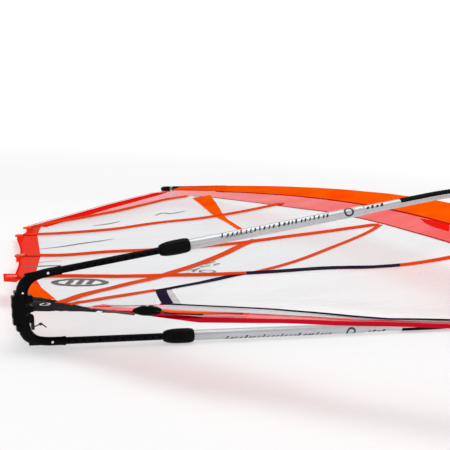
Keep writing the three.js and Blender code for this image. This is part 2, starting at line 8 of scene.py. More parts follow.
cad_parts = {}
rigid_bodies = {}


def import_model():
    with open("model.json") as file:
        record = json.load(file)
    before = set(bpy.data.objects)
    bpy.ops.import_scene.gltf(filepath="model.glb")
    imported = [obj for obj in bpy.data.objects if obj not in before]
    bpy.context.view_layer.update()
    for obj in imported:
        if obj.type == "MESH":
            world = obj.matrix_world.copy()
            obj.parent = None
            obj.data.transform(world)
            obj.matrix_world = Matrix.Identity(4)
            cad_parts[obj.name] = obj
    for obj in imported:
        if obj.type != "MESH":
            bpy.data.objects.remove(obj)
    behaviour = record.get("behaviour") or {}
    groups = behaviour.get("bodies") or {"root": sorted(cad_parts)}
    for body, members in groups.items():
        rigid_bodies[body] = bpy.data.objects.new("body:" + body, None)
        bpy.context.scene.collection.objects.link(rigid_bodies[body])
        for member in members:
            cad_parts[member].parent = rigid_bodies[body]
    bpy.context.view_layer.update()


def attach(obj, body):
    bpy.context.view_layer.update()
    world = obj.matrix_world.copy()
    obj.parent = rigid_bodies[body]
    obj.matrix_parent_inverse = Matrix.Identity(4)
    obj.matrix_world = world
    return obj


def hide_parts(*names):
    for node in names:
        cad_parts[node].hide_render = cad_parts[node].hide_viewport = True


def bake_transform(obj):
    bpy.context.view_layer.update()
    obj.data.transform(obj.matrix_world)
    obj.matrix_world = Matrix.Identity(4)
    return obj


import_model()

RIG = (Matrix.Translation((-1.1425, -0.7278, 0.1247)) @ Matrix.Rotation(-0.0883, 4,
    "Y") @ Matrix.Rotation(-0.0753, 4, "X"))
MAST_FRAME = RIG @ Matrix.Rotation(math.atan(0.04), 4, "X")
BASE = MAST_FRAME @ Matrix.Translation((2.24, -1.5 * math.hypot(1, 0.04) - 0.0003, 0))
TENSIONER = RIG @ Matrix.Translation((0.305, -0.252, 0.019)) @ Matrix.Rotation(math.atan(-0.56), 4, "Z")


def arm_frame(side):
    return RIG @ Matrix.Translation((0, 0, side * 0.099)) @ Matrix.Rotation(-side * math.atan(0.0923), 4, "Y")


ARMS = {"upper": arm_frame(1), "lower": arm_frame(-1)}


def linked(name, data):
    obj = bpy.data.objects.new(name, data)
    bpy.context.collection.objects.link(obj)
    return obj


def turns(n, closed=False):
    """n even steps round a circle, in radians"""
    return [2 * math.pi * k / n for k in range(n + closed)]


# ---------------------------------------------------------------- camera
cam_data = bpy.data.cameras.new("camera")
cam_data.lens = 71.63
cam_data.sensor_width = 36
cam_data.clip_end = 60
camera = linked("camera", cam_data)
camera.matrix_world = (Matrix.Translation((-1.5526, -3.4097, 0.9316)) @ Matrix.Rotation(-0.3852, 4,
    "Z") @ Matrix.Rotation(math.pi / 2 - 0.1836, 4, "X") @ Matrix.Rotation(0.0733, 4, "Z"))
bpy.context.scene.camera = camera


# ---------------------------------------------------------------- materials
def new_material(name):
    mat = bpy.data.materials.new(name)
    mat.use_nodes = True
    tree = mat.node_tree
    bsdf = tree.nodes["Principled BSDF"]
    return mat, tree, bsdf


def mixed(tree, factor, a, b, blend="MIX"):
    node = tree.nodes.new("ShaderNodeMix")
    node.data_type = "RGBA"
    node.blend_type = blend
    for socket, value in ((node.inputs[0], factor), (node.inputs[6], a), (node.inputs[7], b)):
        if hasattr(value, "is_output"):
            tree.links.new(value, socket)
        elif isinstance(value, tuple):
            socket.default_value = (*value, 1)
        else:
            socket.default_value = value
    return node.outputs[2]


def noise_tex(tree, vector, scale, detail=4, rough=0.55):
    node = tree.nodes.new("ShaderNodeTexNoise")
    node.inputs["Scale"].default_value = scale
    node.inputs["Detail"].default_value = detail
    node.inputs["Roughness"].default_value = rough
    tree.links.new(vector, node.inputs["Vector"])
    return node.outputs["Fac"]


def ranged(tree, value, lo, hi, to_lo, to_hi):
    node = tree.nodes.new("ShaderNodeMapRange")
    tree.links.new(value, node.inputs["Value"])
    for key, v in (("From Min", lo), ("From Max", hi), ("To Min", to_lo), ("To Max", to_hi)):
        node.inputs[key].default_value = v
    return node.outputs["Result"]


def coords(tree, kind="Object", scale=(1, 1, 1), turn=0.0):
    tex = tree.nodes.new("ShaderNodeTexCoord")
    node = tree.nodes.new("ShaderNodeMapping")
    node.inputs["Scale"].default_value = scale
    node.inputs["Rotation"].default_value = (0, 0, turn)
    tree.links.new(tex.outputs[kind], node.inputs["Vector"])
    return node.outputs["Vector"]


def wave(tree, vector, scale, distortion=0.0, direction="X"):
    node = tree.nodes.new("ShaderNodeTexWave")
    node.bands_direction = direction
    node.inputs["Scale"].default_value = scale
    node.inputs["Distortion"].default_value = distortion
    node.inputs["Detail"].default_value = 1
    tree.links.new(vector, node.inputs["Vector"])
    return node.outputs["Fac"]


def bumped(tree, bsdf, height, strength, distance=0.001, under=None):
    node = tree.nodes.new("ShaderNodeBump")
    node.inputs["Strength"].default_value = strength
    node.inputs["Distance"].default_value = distance
    tree.links.new(height, node.inputs["Height"])
    if under:
        tree.links.new(under, node.inputs["Normal"])
    tree.links.new(node.outputs["Normal"], bsdf.inputs["Normal"])
    return node.outputs["Normal"]


def hard(name, a, b, rough, metal=0.0, grain=220, bump=0.12, coat=0.0, spread=0.08, gloss=0.4):
    """moulded or metal surface: two tones, uneven gloss, fine grain"""
    mat, tree, bsdf = new_material(name)
    where = coords(tree)
    broad = noise_tex(tree, where, 9, 3)
    fine = noise_tex(tree, where, grain, 2)
    colour = mixed(tree, ranged(tree, broad, 0.35, 0.65, 0, 1), a, b)
    tree.links.new(colour, bsdf.inputs["Base Color"])
    rub = noise_tex(tree, coords(tree, scale=(1, 6, 6)), 30, 5, 0.7)
    tree.links.new(ranged(tree, rub, 0.3, 0.7, max(0.04, rough - spread), rough + spread),
        bsdf.inputs["Roughness"])
    bsdf.inputs["Metallic"].default_value = metal
    bsdf.inputs["Coat Weight"].default_value = coat
    bsdf.inputs["Specular IOR Level"].default_value = gloss
    bumped(tree, bsdf, fine, bump, 0.0004)
    return mat


def cloth(name, a, b, rough=0.5, alpha=1.0, sheen=0.0, weave=520, crease=0.12, gloss=0.0):
    """coated sailcloth: fine weave, long soft creases, slightly uneven dye"""
    mat, tree, bsdf = new_material(name)
    uv = coords(tree, "UV")
    broad = noise_tex(tree, uv, 5, 3)
    tree.links.new(mixed(tree, ranged(tree, broad, 0.3, 0.7, 0, 1), a, b), bsdf.inputs["Base Color"])
    warp = wave(tree, uv, weave)
    weft = wave(tree, uv, weave, direction="Y")
    threads = tree.nodes.new("ShaderNodeMath")
    threads.operation = "MULTIPLY"
    tree.links.new(warp, threads.inputs[0])
    tree.links.new(weft, threads.inputs[1])
    long_crease = noise_tex(tree, coords(tree, "UV", (2.2, 7, 1), 0.5), 2.2, 4)
    first = bumped(tree, bsdf, long_crease, crease, 0.02)
    bumped(tree, bsdf, threads.outputs[0], 0.12, 0.0004, first)
    tree.links.new(ranged(tree, broad, 0.3, 0.7, rough - 0.06, rough + 0.08), bsdf.inputs["Roughness"])
    bsdf.inputs["Sheen Weight"].default_value = sheen
    bsdf.inputs["Specular IOR Level"].default_value = gloss
    bsdf.inputs["Alpha"].default_value = alpha
    return mat


def film(name, a, b, thread, alpha, rough=0.12, threads=True, crease=0.25):
    """laminated film: crossed reinforcing threads inside a clear glossy sheet"""
    mat, tree, bsdf = new_material(name)
    uv = coords(tree, "UV")
    broad = noise_tex(tree, coords(tree, "UV", (1, 2.5, 1), 0.6), 2.5, 4)
    colour = mixed(tree, ranged(tree, broad, 0.3, 0.7, 0, 1), a, b)
    opacity = ranged(tree, broad, 0.3, 0.7, alpha - 0.05, alpha + 0.05)
    if threads:
        for turn in (0.55, -0.55):
            line = wave(tree, coords(tree, "UV", turn=turn), 38)
            mask = ranged(tree, line, 0.93, 0.98, 0, 0.5)
            colour = mixed(tree, mask, colour, thread)
            more = tree.nodes.new("ShaderNodeMath")
            more.operation = "MULTIPLY_ADD"
            more.inputs[1].default_value = 0.35
            more.use_clamp = True
            tree.links.new(mask, more.inputs[0])
            tree.links.new(opacity, more.inputs[2])
            opacity = more.outputs[0]
    tree.links.new(colour, bsdf.inputs["Base Color"])
    tree.links.new(opacity, bsdf.inputs["Alpha"])
    crinkle = noise_tex(tree, uv, 26, 3)
    first = bumped(tree, bsdf, broad, crease, 0.03)
    bumped(tree, bsdf, crinkle, 0.10, 0.004, first)
    tree.links.new(ranged(tree, crinkle, 0.3, 0.7, rough * 0.7, rough * 1.5), bsdf.inputs["Roughness"])
    bsdf.inputs["Specular IOR Level"].default_value = 0.06
    return mat


def braid(name, a, b, pitch=900):
    mat, tree, bsdf = new_material(name)
    uv = coords(tree, "UV")
    one = wave(tree, coords(tree, "UV", turn=0.8), pitch)
    two = wave(tree, coords(tree, "UV", turn=-0.8), pitch)
    mult = tree.nodes.new("ShaderNodeMath")
    mult.operation = "MULTIPLY"
    tree.links.new(one, mult.inputs[0])
    tree.links.new(two, mult.inputs[1])
    fleck = noise_tex(tree, uv, 300, 2)
    tree.links.new(mixed(tree, ranged(tree, fleck, 0.4, 0.62, 0, 1), a, b), bsdf.inputs["Base Color"])
    bsdf.inputs["Roughness"].default_value = 0.75
    bsdf.inputs["Sheen Weight"].default_value = 0.3
    bumped(tree, bsdf, mult.outputs[0], 0.5, 0.0006)
    return mat


M = {"silver": hard("arm_silver", (0.56, 0.58, 0.60), (0.52, 0.54, 0.56), 0.30, 0.45, 160, bump=0.015,
    coat=0.1, spread=0.04), "alloy": hard("extension_alloy", (0.66, 0.67, 0.69), (0.55, 0.56, 0.58), 0.3, 1.0,
    400, bump=0.05), "black_tube": hard("extension_black", (0.002, 0.002, 0.0024), (0.005, 0.0045, 0.006),
    0.3, 0.0, 700, bump=0.05, gloss=0.05), "moulded": hard("moulded_black", (0.0015, 0.0015, 0.0018),
    (0.004, 0.004, 0.0045), 0.36, 0, 900, bump=0.12, gloss=0.05), "dark": hard("sheave_plastic",
    (0.012, 0.012, 0.014), (0.022, 0.022, 0.025), 0.36, 0, 700, bump=0.1, gloss=0.12),
    "rubber": hard("collar_rubber", (0.002, 0.002, 0.0022), (0.005, 0.005, 0.0055), 0.5, 0, 1300, bump=0.25,
    gloss=0.05), "grip": hard("boom_grip", (0.003, 0.003, 0.0035), (0.009, 0.009, 0.010), 0.75, 0, 1500,
    bump=0.5, gloss=0.06), "white": hard("pin_white", (0.86, 0.86, 0.84), (0.78, 0.78, 0.76), 0.3, 0, 600,
    bump=0.05, coat=0.3), "steel": hard("stainless", (0.62, 0.62, 0.63), (0.5, 0.5, 0.52), 0.22, 1.0, 900,
    bump=0.06), "carbon": hard("mast_carbon", (0.008, 0.008, 0.009), (0.018, 0.018, 0.02), 0.34, 0.0, 600,
    bump=0.08, coat=0.1, gloss=0.12), "batten": hard("batten_rod", (0.05, 0.05, 0.055), (0.09, 0.09, 0.1),
    0.45, 0, 500, bump=0.1), "orange_tip": hard("batten_tip_orange", (0.95, 0.10, 0.005), (0.85, 0.07, 0.004),
    0.4, 0, 500, bump=0.15), "print": hard("printed_dark", (0.02, 0.02, 0.023), (0.035, 0.035, 0.04), 0.45, 0,
    400, bump=0.05), "print_grey": hard("printed_grey", (0.10, 0.10, 0.095), (0.16, 0.16, 0.15), 0.45, 0, 400,
    bump=0.05), "orange": cloth("luff_orange", (0.96, 0.125, 0.001), (0.97, 0.06, 0.001), 0.42),
    "orange_tape": cloth("orange_tape", (0.78, 0.075, 0.010), (0.70, 0.055, 0.008), 0.45, 0.97),
    "red": cloth("leech_red", (0.93, 0.020, 0.006), (0.86, 0.03, 0.008), 0.4, 0.96),
    "bright_red": cloth("patch_red", (0.93, 0.008, 0.004), (0.82, 0.01, 0.006), 0.4),
    "dark_red": cloth("seam_dark_red", (0.42, 0.008, 0.01), (0.3, 0.006, 0.012), 0.45),
    # foot band cloth: red, darkened with painted shade for the shadow on the drooping foot hem
    "crimson": cloth("foot_red_painted_shade", (0.60, 0.006, 0.020), (0.52, 0.004, 0.016), 0.42),
    "pocket": cloth("pocket_tape", (0.85, 0.075, 0.010), (0.74, 0.05, 0.008), 0.5),
    "webbing": cloth("dark_webbing", (0.018, 0.018, 0.021), (0.035, 0.034, 0.038), 0.6, weave=380),
    "navy": cloth("frame_tape", (0.014, 0.009, 0.024), (0.03, 0.02, 0.045), 0.4),
    "film": film("clear_laminate", (0.83, 0.84, 0.85), (0.77, 0.78, 0.80), (0.52, 0.54, 0.57), 0.66,
    crease=0.12), "window": film("window_film", (0.97, 0.97, 0.98), (0.92, 0.93, 0.95), (1, 1, 1), 0.3, 0.08,
    False, 0.12), "grey_film": film("grey_film", (0.42, 0.38, 0.42), (0.5, 0.44, 0.47), (0.3, 0.28, 0.3),
    0.62), "pink": film("red_film", (0.92, 0.03, 0.024), (0.88, 0.018, 0.014), (0.75, 0.01, 0.01), 0.95,
    crease=0.08), "line": braid("line_braid", (0.012, 0.012, 0.014), (0.045, 0.044, 0.047)),}


# ---------------------------------------------------------------- mesh helpers
def finished(mesh, mat, angle):
    """one material, smooth faces, edges sharper than the angle kept sharp"""
    mesh.materials.clear()
    mesh.materials.append(M[mat])
    mesh.polygons.foreach_set("use_smooth", [True] * len(mesh.polygons))
    if angle:
        mesh.set_sharp_from_angle(angle=math.radians(angle))
    return mesh


def add_object(name, data, body="rig", nodes=()):
    obj = linked(name, data)
    if body:
        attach(obj, body)
    if nodes:
        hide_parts(*nodes)
    return obj


def make(name, verts, faces, mat, body="rig", nodes=(), uvs=None, angle=None):
    mesh = bpy.data.meshes.new(name)
    mesh.from_pydata([tuple(v) for v in verts], [], faces)
    if uvs:
        layer = mesh.uv_layers.new(name="UVMap")
        for loop in mesh.loops:
            layer.data[loop.index].uv = uvs[loop.vertex_index]
    mesh.validate()
    return add_object(name, finished(mesh, mat, angle), body, nodes)


def grid(rows, round_it=False, cap=False, start=0):
    n = len(rows[0])
    verts = [v for row in rows for v in row]
    faces = []
    for i in range(len(rows) - 1):
        for j in range(n if round_it else n - 1):
            k = (j + 1) % n
            a, b = start + i * n, start + (i + 1) * n
            faces.append((a + j, a + k, b + k, b + j))
    if cap:
        faces.append(tuple(start + j for j in reversed(range(n))))
        faces.append(tuple(start + (len(rows) - 1) * n + j for j in range(n)))
    return verts, faces


def mm(matrix):
    return matrix @ Matrix.Scale(0.001, 4)


def turned(name, profile, matrix, mat, body="rig", nodes=(), sides=48, shape=None, angle=35):
    rows = []
    place = mm(matrix)
    uvs = []
    run = 0.0
    last = profile[0]
    for x, r in profile:
        run += math.hypot(x - last[0], r - last[1])
        last = (x, r)
        ring = []
        for j in range(sides):
            t = 2 * math.pi * j / sides
            q = r * (shape(x, t) if shape else 1)
            ring.append(place @ Vector((x, q * math.cos(t), q * math.sin(t))))
            uvs.append((run / 1000, 0.06 * t))
        rows.append(ring)
    verts, faces = grid(rows, True)
    return make(name, verts, faces, mat, body, nodes, uvs, angle)


def rounded(points, radius, steps=4):
    """profile with its corners rounded"""
    out = [points[0]]
    for i in range(1, len(points) - 1):
        p, q, s = (Vector(points[i + k]) for k in (-1, 0, 1))
        r = min(radius, (p - q).length * 0.45, (s - q).length * 0.45)
        a = q + (p - q).normalized() * r
        b = q + (s - q).normalized() * r
        for k in range(steps + 1):
            t = k / steps
            out.append(tuple(a.lerp(q, t).lerp(q.lerp(b, t), t)))
    out.append(points[-1])
    return out


def spline(points, per=8):
    """smooth line through points of any dimension"""
    pts = [Vector(p) for p in points]
    out = []
    for i in range(len(pts) - 1):
        p1, p2 = pts[i], pts[i + 1]
        p0 = pts[i - 1] if i else p1 + (p1 - p2)
        p3 = pts[i + 2] if i + 2 < len(pts) else p2 + (p2 - p1)
        d0, d1, d2 = (max(1e-6, (b - a).length ** 0.5) for a, b in ((p0, p1), (p1, p2), (p2, p3)))
        m1 = (p1 - p0) / d0 - (p2 - p0) / (d0 + d1) + (p2 - p1) / d1
        m2 = (p2 - p1) / d1 - (p3 - p1) / (d1 + d2) + (p3 - p2) / d2
        m1, m2 = m1 * d1, m2 * d1
        for k in range(per):
            t = k / per
            h = (2 * t**3 - 3 * t**2 + 1, t**3 - 2 * t**2 + t, -2 * t**3 + 3 * t**2, t**3 - t**2)
            out.append(p1 * h[0] + m1 * h[1] + p2 * h[2] + m2 * h[3])
    out.append(pts[-1])
    return out


def swept(path, radius, sides=24, up=Vector((0, 1, 0)), cap=True, squash=None):
    """tube round a path in mm; radius is a number or a function of the share of the length"""
    rows, uvs = [], []
    total = sum((b - a).length for a, b in zip(path, path[1:]))
    run = 0.0
    for i, p in enumerate(path):
        if i:
            run += (p - path[i - 1]).length
        d = (path[min(i + 1, len(path) - 1)] - path[max(i - 1, 0)]).normalized()
        side = d.cross(up).normalized()
        over = side.cross(d).normalized()
        r = radius(run / total) if callable(radius) else radius
        ring = []
        for j in range(sides):
            t = 2 * math.pi * j / sides
            q = squash(run, t) if squash else 1
            ring.append(p + (side * math.cos(t) + over * math.sin(t)) * r * q)
            uvs.append((run / 1000, t * r / 1000))
        rows.append(ring)
    verts, faces = grid(rows, True, cap)
    return verts, faces, uvs


def tube(name, path, radius, matrix, mat, body="rig", nodes=(), slot=None, **kw):
    verts, faces, uvs = swept(path, radius, **kw)
    place = mm(matrix)
    return make(name, [place @ v for v in verts], faces, mat, body, nodes, uvs, 40)


def box_part(bm, x0, x1, y0, y1, z0, z1):
    made = bmesh.ops.create_cube(bm, size=1)["verts"]
    for v in made:
        v.co = Vector(((x0 + x1) / 2 + v.co.x * (x1 - x0), (y0 + y1) / 2 + v.co.y * (y1 - y0),
            (z0 + z1) / 2 + v.co.z * (z1 - z0)))
    return made


def refined(node, mat, body, bevel=1.0):
    """bevelled, smooth-shaded body of a CAD node"""
    source = next(o for o in bpy.data.objects if o.name == node)
    bm = bmesh.new()
    bm.from_mesh(source.data)
    bmesh.ops.remove_doubles(bm, verts=bm.verts, dist=1e-6)
    bmesh.ops.dissolve_limit(bm, angle_limit=0.02, verts=bm.verts, edges=bm.edges)
    sharp = [e for e in bm.edges if len(e.link_faces) == 2 and e.calc_face_angle(0) > 0.7]
    if bevel and sharp:
        bmesh.ops.bevel(bm, geom=sharp, offset=bevel / 1000, segments=2, affect="EDGES", clamp_overlap=True)
    mesh = bpy.data.meshes.new(node + "_fine")
    bm.to_mesh(mesh)
    bm.free()
    return add_object(node + "_fine", finished(mesh, mat, 38), body, (node,))


# ---------------------------------------------------------------- sail surface
DRAFT = [(-1400, 0), (-600, 35), (0, 60), (300, 75), (1000, 50), (1600, 30), (2200, 15), (3000, 0)]
LEECH = [(-1500, 1900), (-100, 120), (0, 50), (550, 50), (970, 150), (1500, 230), (1850, 330), (2600, 1000),
    (3100, 1450)]


def mix(a, b, t):
    return a + (b - a) * t


def clamp(v, lo=0.0, hi=1.0):
    return max(lo, min(hi, v))


def table(rows, u):
    for (u0, a), (u1, b) in zip(rows, rows[1:]):
        if u <= u1 or (u1, b) == rows[-1]:
            return mix(a, b, clamp((u - u0) / (u1 - u0)))


def over_top(u):
    return max(0, (u - 700) / 1000) ** 2


def bow(u):
    return 0.04 * u - 20.65 * over_top(u)


def mast_x(u):
    return 2240 - 132 * over_top(u)


def sleeve(u):
    return 235 if u < 2400 else mix(235, 58, (u - 2400) / 680)


def taper(u):
    return mix(1, 10 / 24, clamp((u - 1000) / 2090) ** 1.1)


def height(b, u):
    rear = table(LEECH, u)
    t = clamp((b - rear) / max(200, mast_x(u) - sleeve(u) - rear))
    return -table(DRAFT, u) * math.sin(math.pi * t**1.5) + bow(u) * t * t


def ripple(b, u):
    """small slack in the film: long soft waves, and folds that fan out from the clew"""
    soft = noise.noise(Vector((b * 0.0035, u * 0.007, 0.3))) * 1.6
    r = math.hypot(b - 105, u - 42)
    fan = math.sin(math.atan2(u - 42, b - 105) * 34) * 0.9 * math.exp(-r / 420)
    return soft * clamp(r / 250) * clamp((mast_x(u) - 250 - b) / 120) + fan * clamp(r / 60)


def on_sail(b, u, lift=0.0):
    return RIG @ (Vector((b, u, height(b, u) + ripple(b, u) + lift)) / 1000)


def sheet_grid(name, rows, mat, nodes=(), slot=None, lift=0.0, body="rig", mats=None, pick=None):
    """rows of (b, u) points laid on the sail surface"""
    flat = [p for row in rows for p in row]
    verts = [on_sail(p[0], p[1], lift) for p in flat]
    _, faces = grid([[None] * len(row) for row in rows])
    uvs = [(p[0] / 1000, p[1] / 1000) for p in flat]
    obj = make(name, verts, faces, mat, body, nodes, uvs)
    if pick:
        for m in mats:
            obj.data.materials.append(M[m])
        per = len(rows[0]) - 1
        for i, poly in enumerate(obj.data.polygons):
            poly.material_index = pick(i // per, i % per)
    return obj


def along_line(points, per):
    out = []
    for (a, b) in zip(points, points[1:]):
        out += [(mix(a[0], b[0], k / per), mix(a[1], b[1], k / per)) for k in range(per)]
    return out + [tuple(points[-1])]


def panel(name, lo, hi, mat, nodes=(), slot=None, ny=20, per=8, **kw):
    low, high = along_line(lo, per), along_line(hi, per)
    rows = [[(mix(a[0], b[0], k / ny), mix(a[1], b[1], k / ny)) for a,
        b in zip(low, high)] for k in range(ny + 1)]
    return sheet_grid(name, rows, mat, nodes, slot, **kw)


def side_of(path, i):
    a, b = path[max(i - 1, 0)], path[min(i + 1, len(path) - 1)]
    d = Vector((b[0] - a[0], b[1] - a[1])).normalized()
    return Vector((-d.y, d.x))


def ribbon(name, points, width, mat, lift=1.2, per=10, crown=0.5, body="rig", nodes=(), slot=None,
           smooth=True, closed=False, cloth_piece=True):
    """flat tape on the sail; width is a number or a function of the share of the length"""
    path = spline(points, per) if smooth else [Vector(p) for p in along_line(points, per)]
    n = len(path)
    rows, verts, uvs = [], [], []
    run = 0.0
    for i, p in enumerate(path):
        run += (p - path[i - 1]).length if i else 0
        if closed:
            a, b = path[(i - 1) % (n - 1)], path[(i + 1) % (n - 1)]
            d = (b - a).normalized()
            side = Vector((-d.y, d.x))
        else:
            side = side_of(path, i)
        w = (width(i / (n - 1)) if callable(width) else width) / 2
        for s in (-1, -0.5, 0, 0.5, 1):
            q = Vector((p.x, p.y)) + side * s * w
            verts.append(on_sail(q.x, q.y, lift + crown * (1 - s * s)))
            uvs.append((run / 1000, s * w / 1000))
    rows = [[None] * 5 for _ in range(n)]
    _, faces = grid(rows)
    obj = make(name, verts, faces, mat, body, nodes, uvs)
    return obj


def trim(*args, **kw):
    """line or edging on another piece, not a sheet of its own"""
    return ribbon(*args, cloth_piece=False, **kw)


def patch(name, outline, mat, lift=1.0, nodes=(), size=20):
    """flat piece of any outline, laid on the sail"""
    bm = bmesh.new()
    face = bm.faces.new([bm.verts.new((p[0], p[1], 0)) for p in outline])
    bmesh.ops.triangulate(bm, faces=[face])
    for _ in range(5):
        long = [e for e in bm.edges if e.calc_length() > size]
        if not long:
            break
        bmesh.ops.subdivide_edges(bm, edges=long, cuts=1)
        bmesh.ops.triangulate(bm, faces=bm.faces)
    bm.verts.ensure_lookup_table()
    flat = [(v.co.x, v.co.y) for v in bm.verts]
    faces = [tuple(v.index for v in f.verts) for f in bm.faces]
    bm.free()
    uvs = [(x / 1000, y / 1000) for x, y in flat]
    obj = make(name, [on_sail(x, y, lift) for x, y in flat], faces, mat, "rig", nodes, uvs)
    return obj


SEAM_D = [(92, 536), (150, 516), (250, 482), (460, 425), (640, 412), (900, 398), (1245, 381), (1553, 230),
    (1850, 150)]
SEAM_C = [(188, 980), (245, 955), (330, 925), (540, 945), (735, 940), (1067, 965), (1400, 985), (1650, 930),
    (1834, 865)]
SEAM_B = [(270, 1558), (330, 1548), (435, 1530), (690, 1550), (980, 1655), (1200, 1670), (1400, 1690),
    (1600, 1712), (1724, 1715)]
SEAM_A = [(352, 1833), (405, 1868), (560, 1965), (700, 2058), (840, 2152), (1060, 2335), (1277, 2520),
    (1360, 2532), (1437, 2533)]
HEAD = [(343, 1864), (397, 1922), (600, 2150), (725, 2300), (850, 2445), (1000, 2610), (1110, 2730),
    (1250, 2870), (1340, 2965), (1425, 3050)]
FOOT = [(240, -147), (330, -235), (458, -415), (654, -532), (776, -625), (902, -705), (1250, -965),
    (1550, -1180), (1870, -1365), (1990, -1436)]
TAPE_TOP = [(262, -110), (360, -190), (490, -355), (680, -483), (800, -575), (930, -655), (1270, -912),
    (1560, -1120), (1850, -1310), (1990, -1388)]
WINDOW_FOOT = [(275, -20), (425, -100), (593, -223), (728, -369), (830, -485), (933, -597), (1250, -815),
    (1550, -1000), (1850, -1150)]
WINDOW_TOP = [(505, 140), (650, 233), (787, 324), (900, 386), (962, 405), (1245, 381), (1553, 230),
    (1850, 150)]
CLEW_REAR = [(70, 190), (130, 125)]

# ---------------------------------------------------------------- lines (cords come first)
EYE = (105, 42)
EYE_Z = height(*EYE)


def line(name, points, body, nodes, lay, far_end, radius=1.9, per=6, frame_at=RIG, pieces=(), slot="line"):
    path = spline(points, per)
    obj = tube(name, path, radius, frame_at, "line", body, nodes, slot, sides=10)
    world = [mm(frame_at) @ p for p in path]
    return obj, world


outhaul, _ = line("outhaul_line_rope", [(41, 15.3, 18), (62, 21, 17), (86, 34, 12),
    (*EYE, EYE_Z + 6), (EYE[0] + 1, EYE[1], EYE_Z), (*EYE, EYE_Z - 6), (86, 33, -10), (62, 21, -12),
    (41, 15.3, -12)], None, ("outhaul_line",), "taut", "object")
knot_loop = []
for k in range(73):
    t = 2 * math.pi * k / 72
    knot_loop.append(Vector((80 + 2.3 * (math.sin(t) + 2 * math.sin(2 * t)) / 1.5,
        -5 + 2.3 * (math.cos(t) - 2 * math.cos(2 * t)) / 1.5, -49 - 2.6 * math.sin(3 * t))))
stopper = tube("outhaul_stopper_knot", knot_loop, 1.9, RIG, "line", "tail", (), "line", sides=10,
    up=Vector((0.2, 0.3, 1)), cap=False)
line("outhaul_tail_rope", [(57.2, 0, -55), (62, -1, -55), (70, -3, -52), (80, -5, -49), (88, -7, -53),
    (96, -9, -61)], "tail", ("outhaul_free_end",), "loose", "bare", pieces=(stopper,))
downhaul, _ = line("downhaul_line_rope", [(-79.5, -99, 8.5), (-79, -60, 7), (-77, -20, 2),
    (-74.8, 38, 0)], None, ("downhaul_line",), "taut", "object", frame_at=BASE)
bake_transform(outhaul)
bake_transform(downhaul)

# ---------------------------------------------------------------- sail panels
panel("clew_film", [(130, 125), (275, -20), (425, -100), (505, 140), (650, 233), (787, 324), (900, 386)],
    [(150, 516), (250, 482), (460, 425), (500, 422), (640, 412), (790, 405), (900, 398)], "film",
    ("panel_clew",), "clear_film")
panel("lower_film", SEAM_D[1:], SEAM_C[1:], "film", ("panel_lower",), "clear_film")
panel("middle_film", SEAM_C[1:], SEAM_B[1:], "film", ("panel_middle",), "clear_film")
panel("upper_film", SEAM_B[1:], SEAM_A[1:], "film", ("panel_upper",), "clear_film")
panel("head_film", SEAM_A + [(1585, 2537)], HEAD, "pink", ("panel_head",), "pink_film")
panel("window_sheet", WINDOW_FOOT[1:], WINDOW_TOP, "window", ("window_panel",), "window_film", ny=30)
panel("foot_film", TAPE_TOP[:9], WINDOW_FOOT, "pink", ("foot_panel",), "pink_film", ny=16,
    mats=("grey_film",), pick=lambda row, _: 1 if row >= 9 else 0)
# the foot band's deep red is partly its own red cloth and partly painted shade from the shadow on the
# drooping hem
panel("foot_band", FOOT, TAPE_TOP, "crimson", ("foot_tape",), "crimson_cloth", ny=6)

# leech: scalloped edge between the batten tips
outer = [CLEW_REAR[0], SEAM_D[0], SEAM_C[0], SEAM_B[0], SEAM_A[0]]
inner = [CLEW_REAR[1], SEAM_D[1], SEAM_C[1], SEAM_B[1], SEAM_A[1]]
EDGE = [(190, 70), (300, 86), (400, 96), (480, 92), (611, 97), (721, 122), (799, 138), (901, 150),
    (1016, 175), (1144, 195), (1285, 210), (1480, 226), (1558, 250), (1640, 292), (1770, 336), (1833, 352)]
leech_rows = []
for i in range(4):
    for k in range(12 + (i == 3)):
        t = k / 12
        u = mix(outer[i][1], outer[i + 1][1], t)
        a = (table(EDGE, u), u)
        b = (mix(inner[i][0], inner[i + 1][0], t), mix(inner[i][1], inner[i + 1][1], t))
        leech_rows.append([(mix(a[0], b[0], s / 6), mix(a[1], b[1], s / 6)) for s in range(7)])
sheet_grid("leech_edge", [list(r) for r in zip(*leech_rows)], "red", ("leech_tape",), "red_cloth", lift=0.4)
trim("leech_binding", [r[0] for r in leech_rows], 9, "bright_red", 0.9, 2, smooth=False)

# band behind the luff sleeve
BAND = [(-1305, 1850), (150, 1849), (374, 1842), (833, 1828), (1068, 1806), (1299, 1768), (1646, 1670),
    (2168, 1540), (2400, 1482), (2533, 1437)]
band_rows = []
for k in range(73):
    u = mix(-1305, 2533, k / 72)
    rear, front = table(BAND, u), mast_x(u) - sleeve(u) - 5
    band_rows.append([(mix(rear, front, s / 8), u) for s in range(9)])
sheet_grid("luff_band_film", [list(r) for r in zip(*band_rows)], "pink", ("luff_band",), "pink_film",
    lift=0.3)

# clew patch with its pressed eye, and the corner patch above it
patch("clew_patch_cloth", [(52, 29), (58, -20), (67, -43), (120, -65), (171, -95), (224, -135), (242, -116),
    (219, -53), (180, 27), (149, 89), (130, 125), (70, 190)], "webbing", 0.8, ("clew_patch",), size=18)
patch("clew_corner", [(72, 186), (86, 330), (104, 404), (114, 402), (129, 383), (140, 320), (145, 206),
    (150, 99), (126, 119), (101, 161)], "orange", 1.3)
patch("clew_fill", [(150, 99), (180, 27), (219, -53), (275, -20), (200, 60)], "film", 0.9)
patch("clew_fill_red", [(214, -48), (242, -116), (262, -128), (290, -120), (290, -34), (275, -20)], "pink",
    0.9)
for i, (p, q) in enumerate((((64, -16), (220, -112)), ((62, 66), (80, -30)), ((76, 140), (150, 70)))):
    ribbon(f"clew_webbing_{i}", [p, ((p[0] + q[0]) / 2, (p[1] + q[1]) / 2), q], 13, "webbing", 1.7, 8, 0.9)
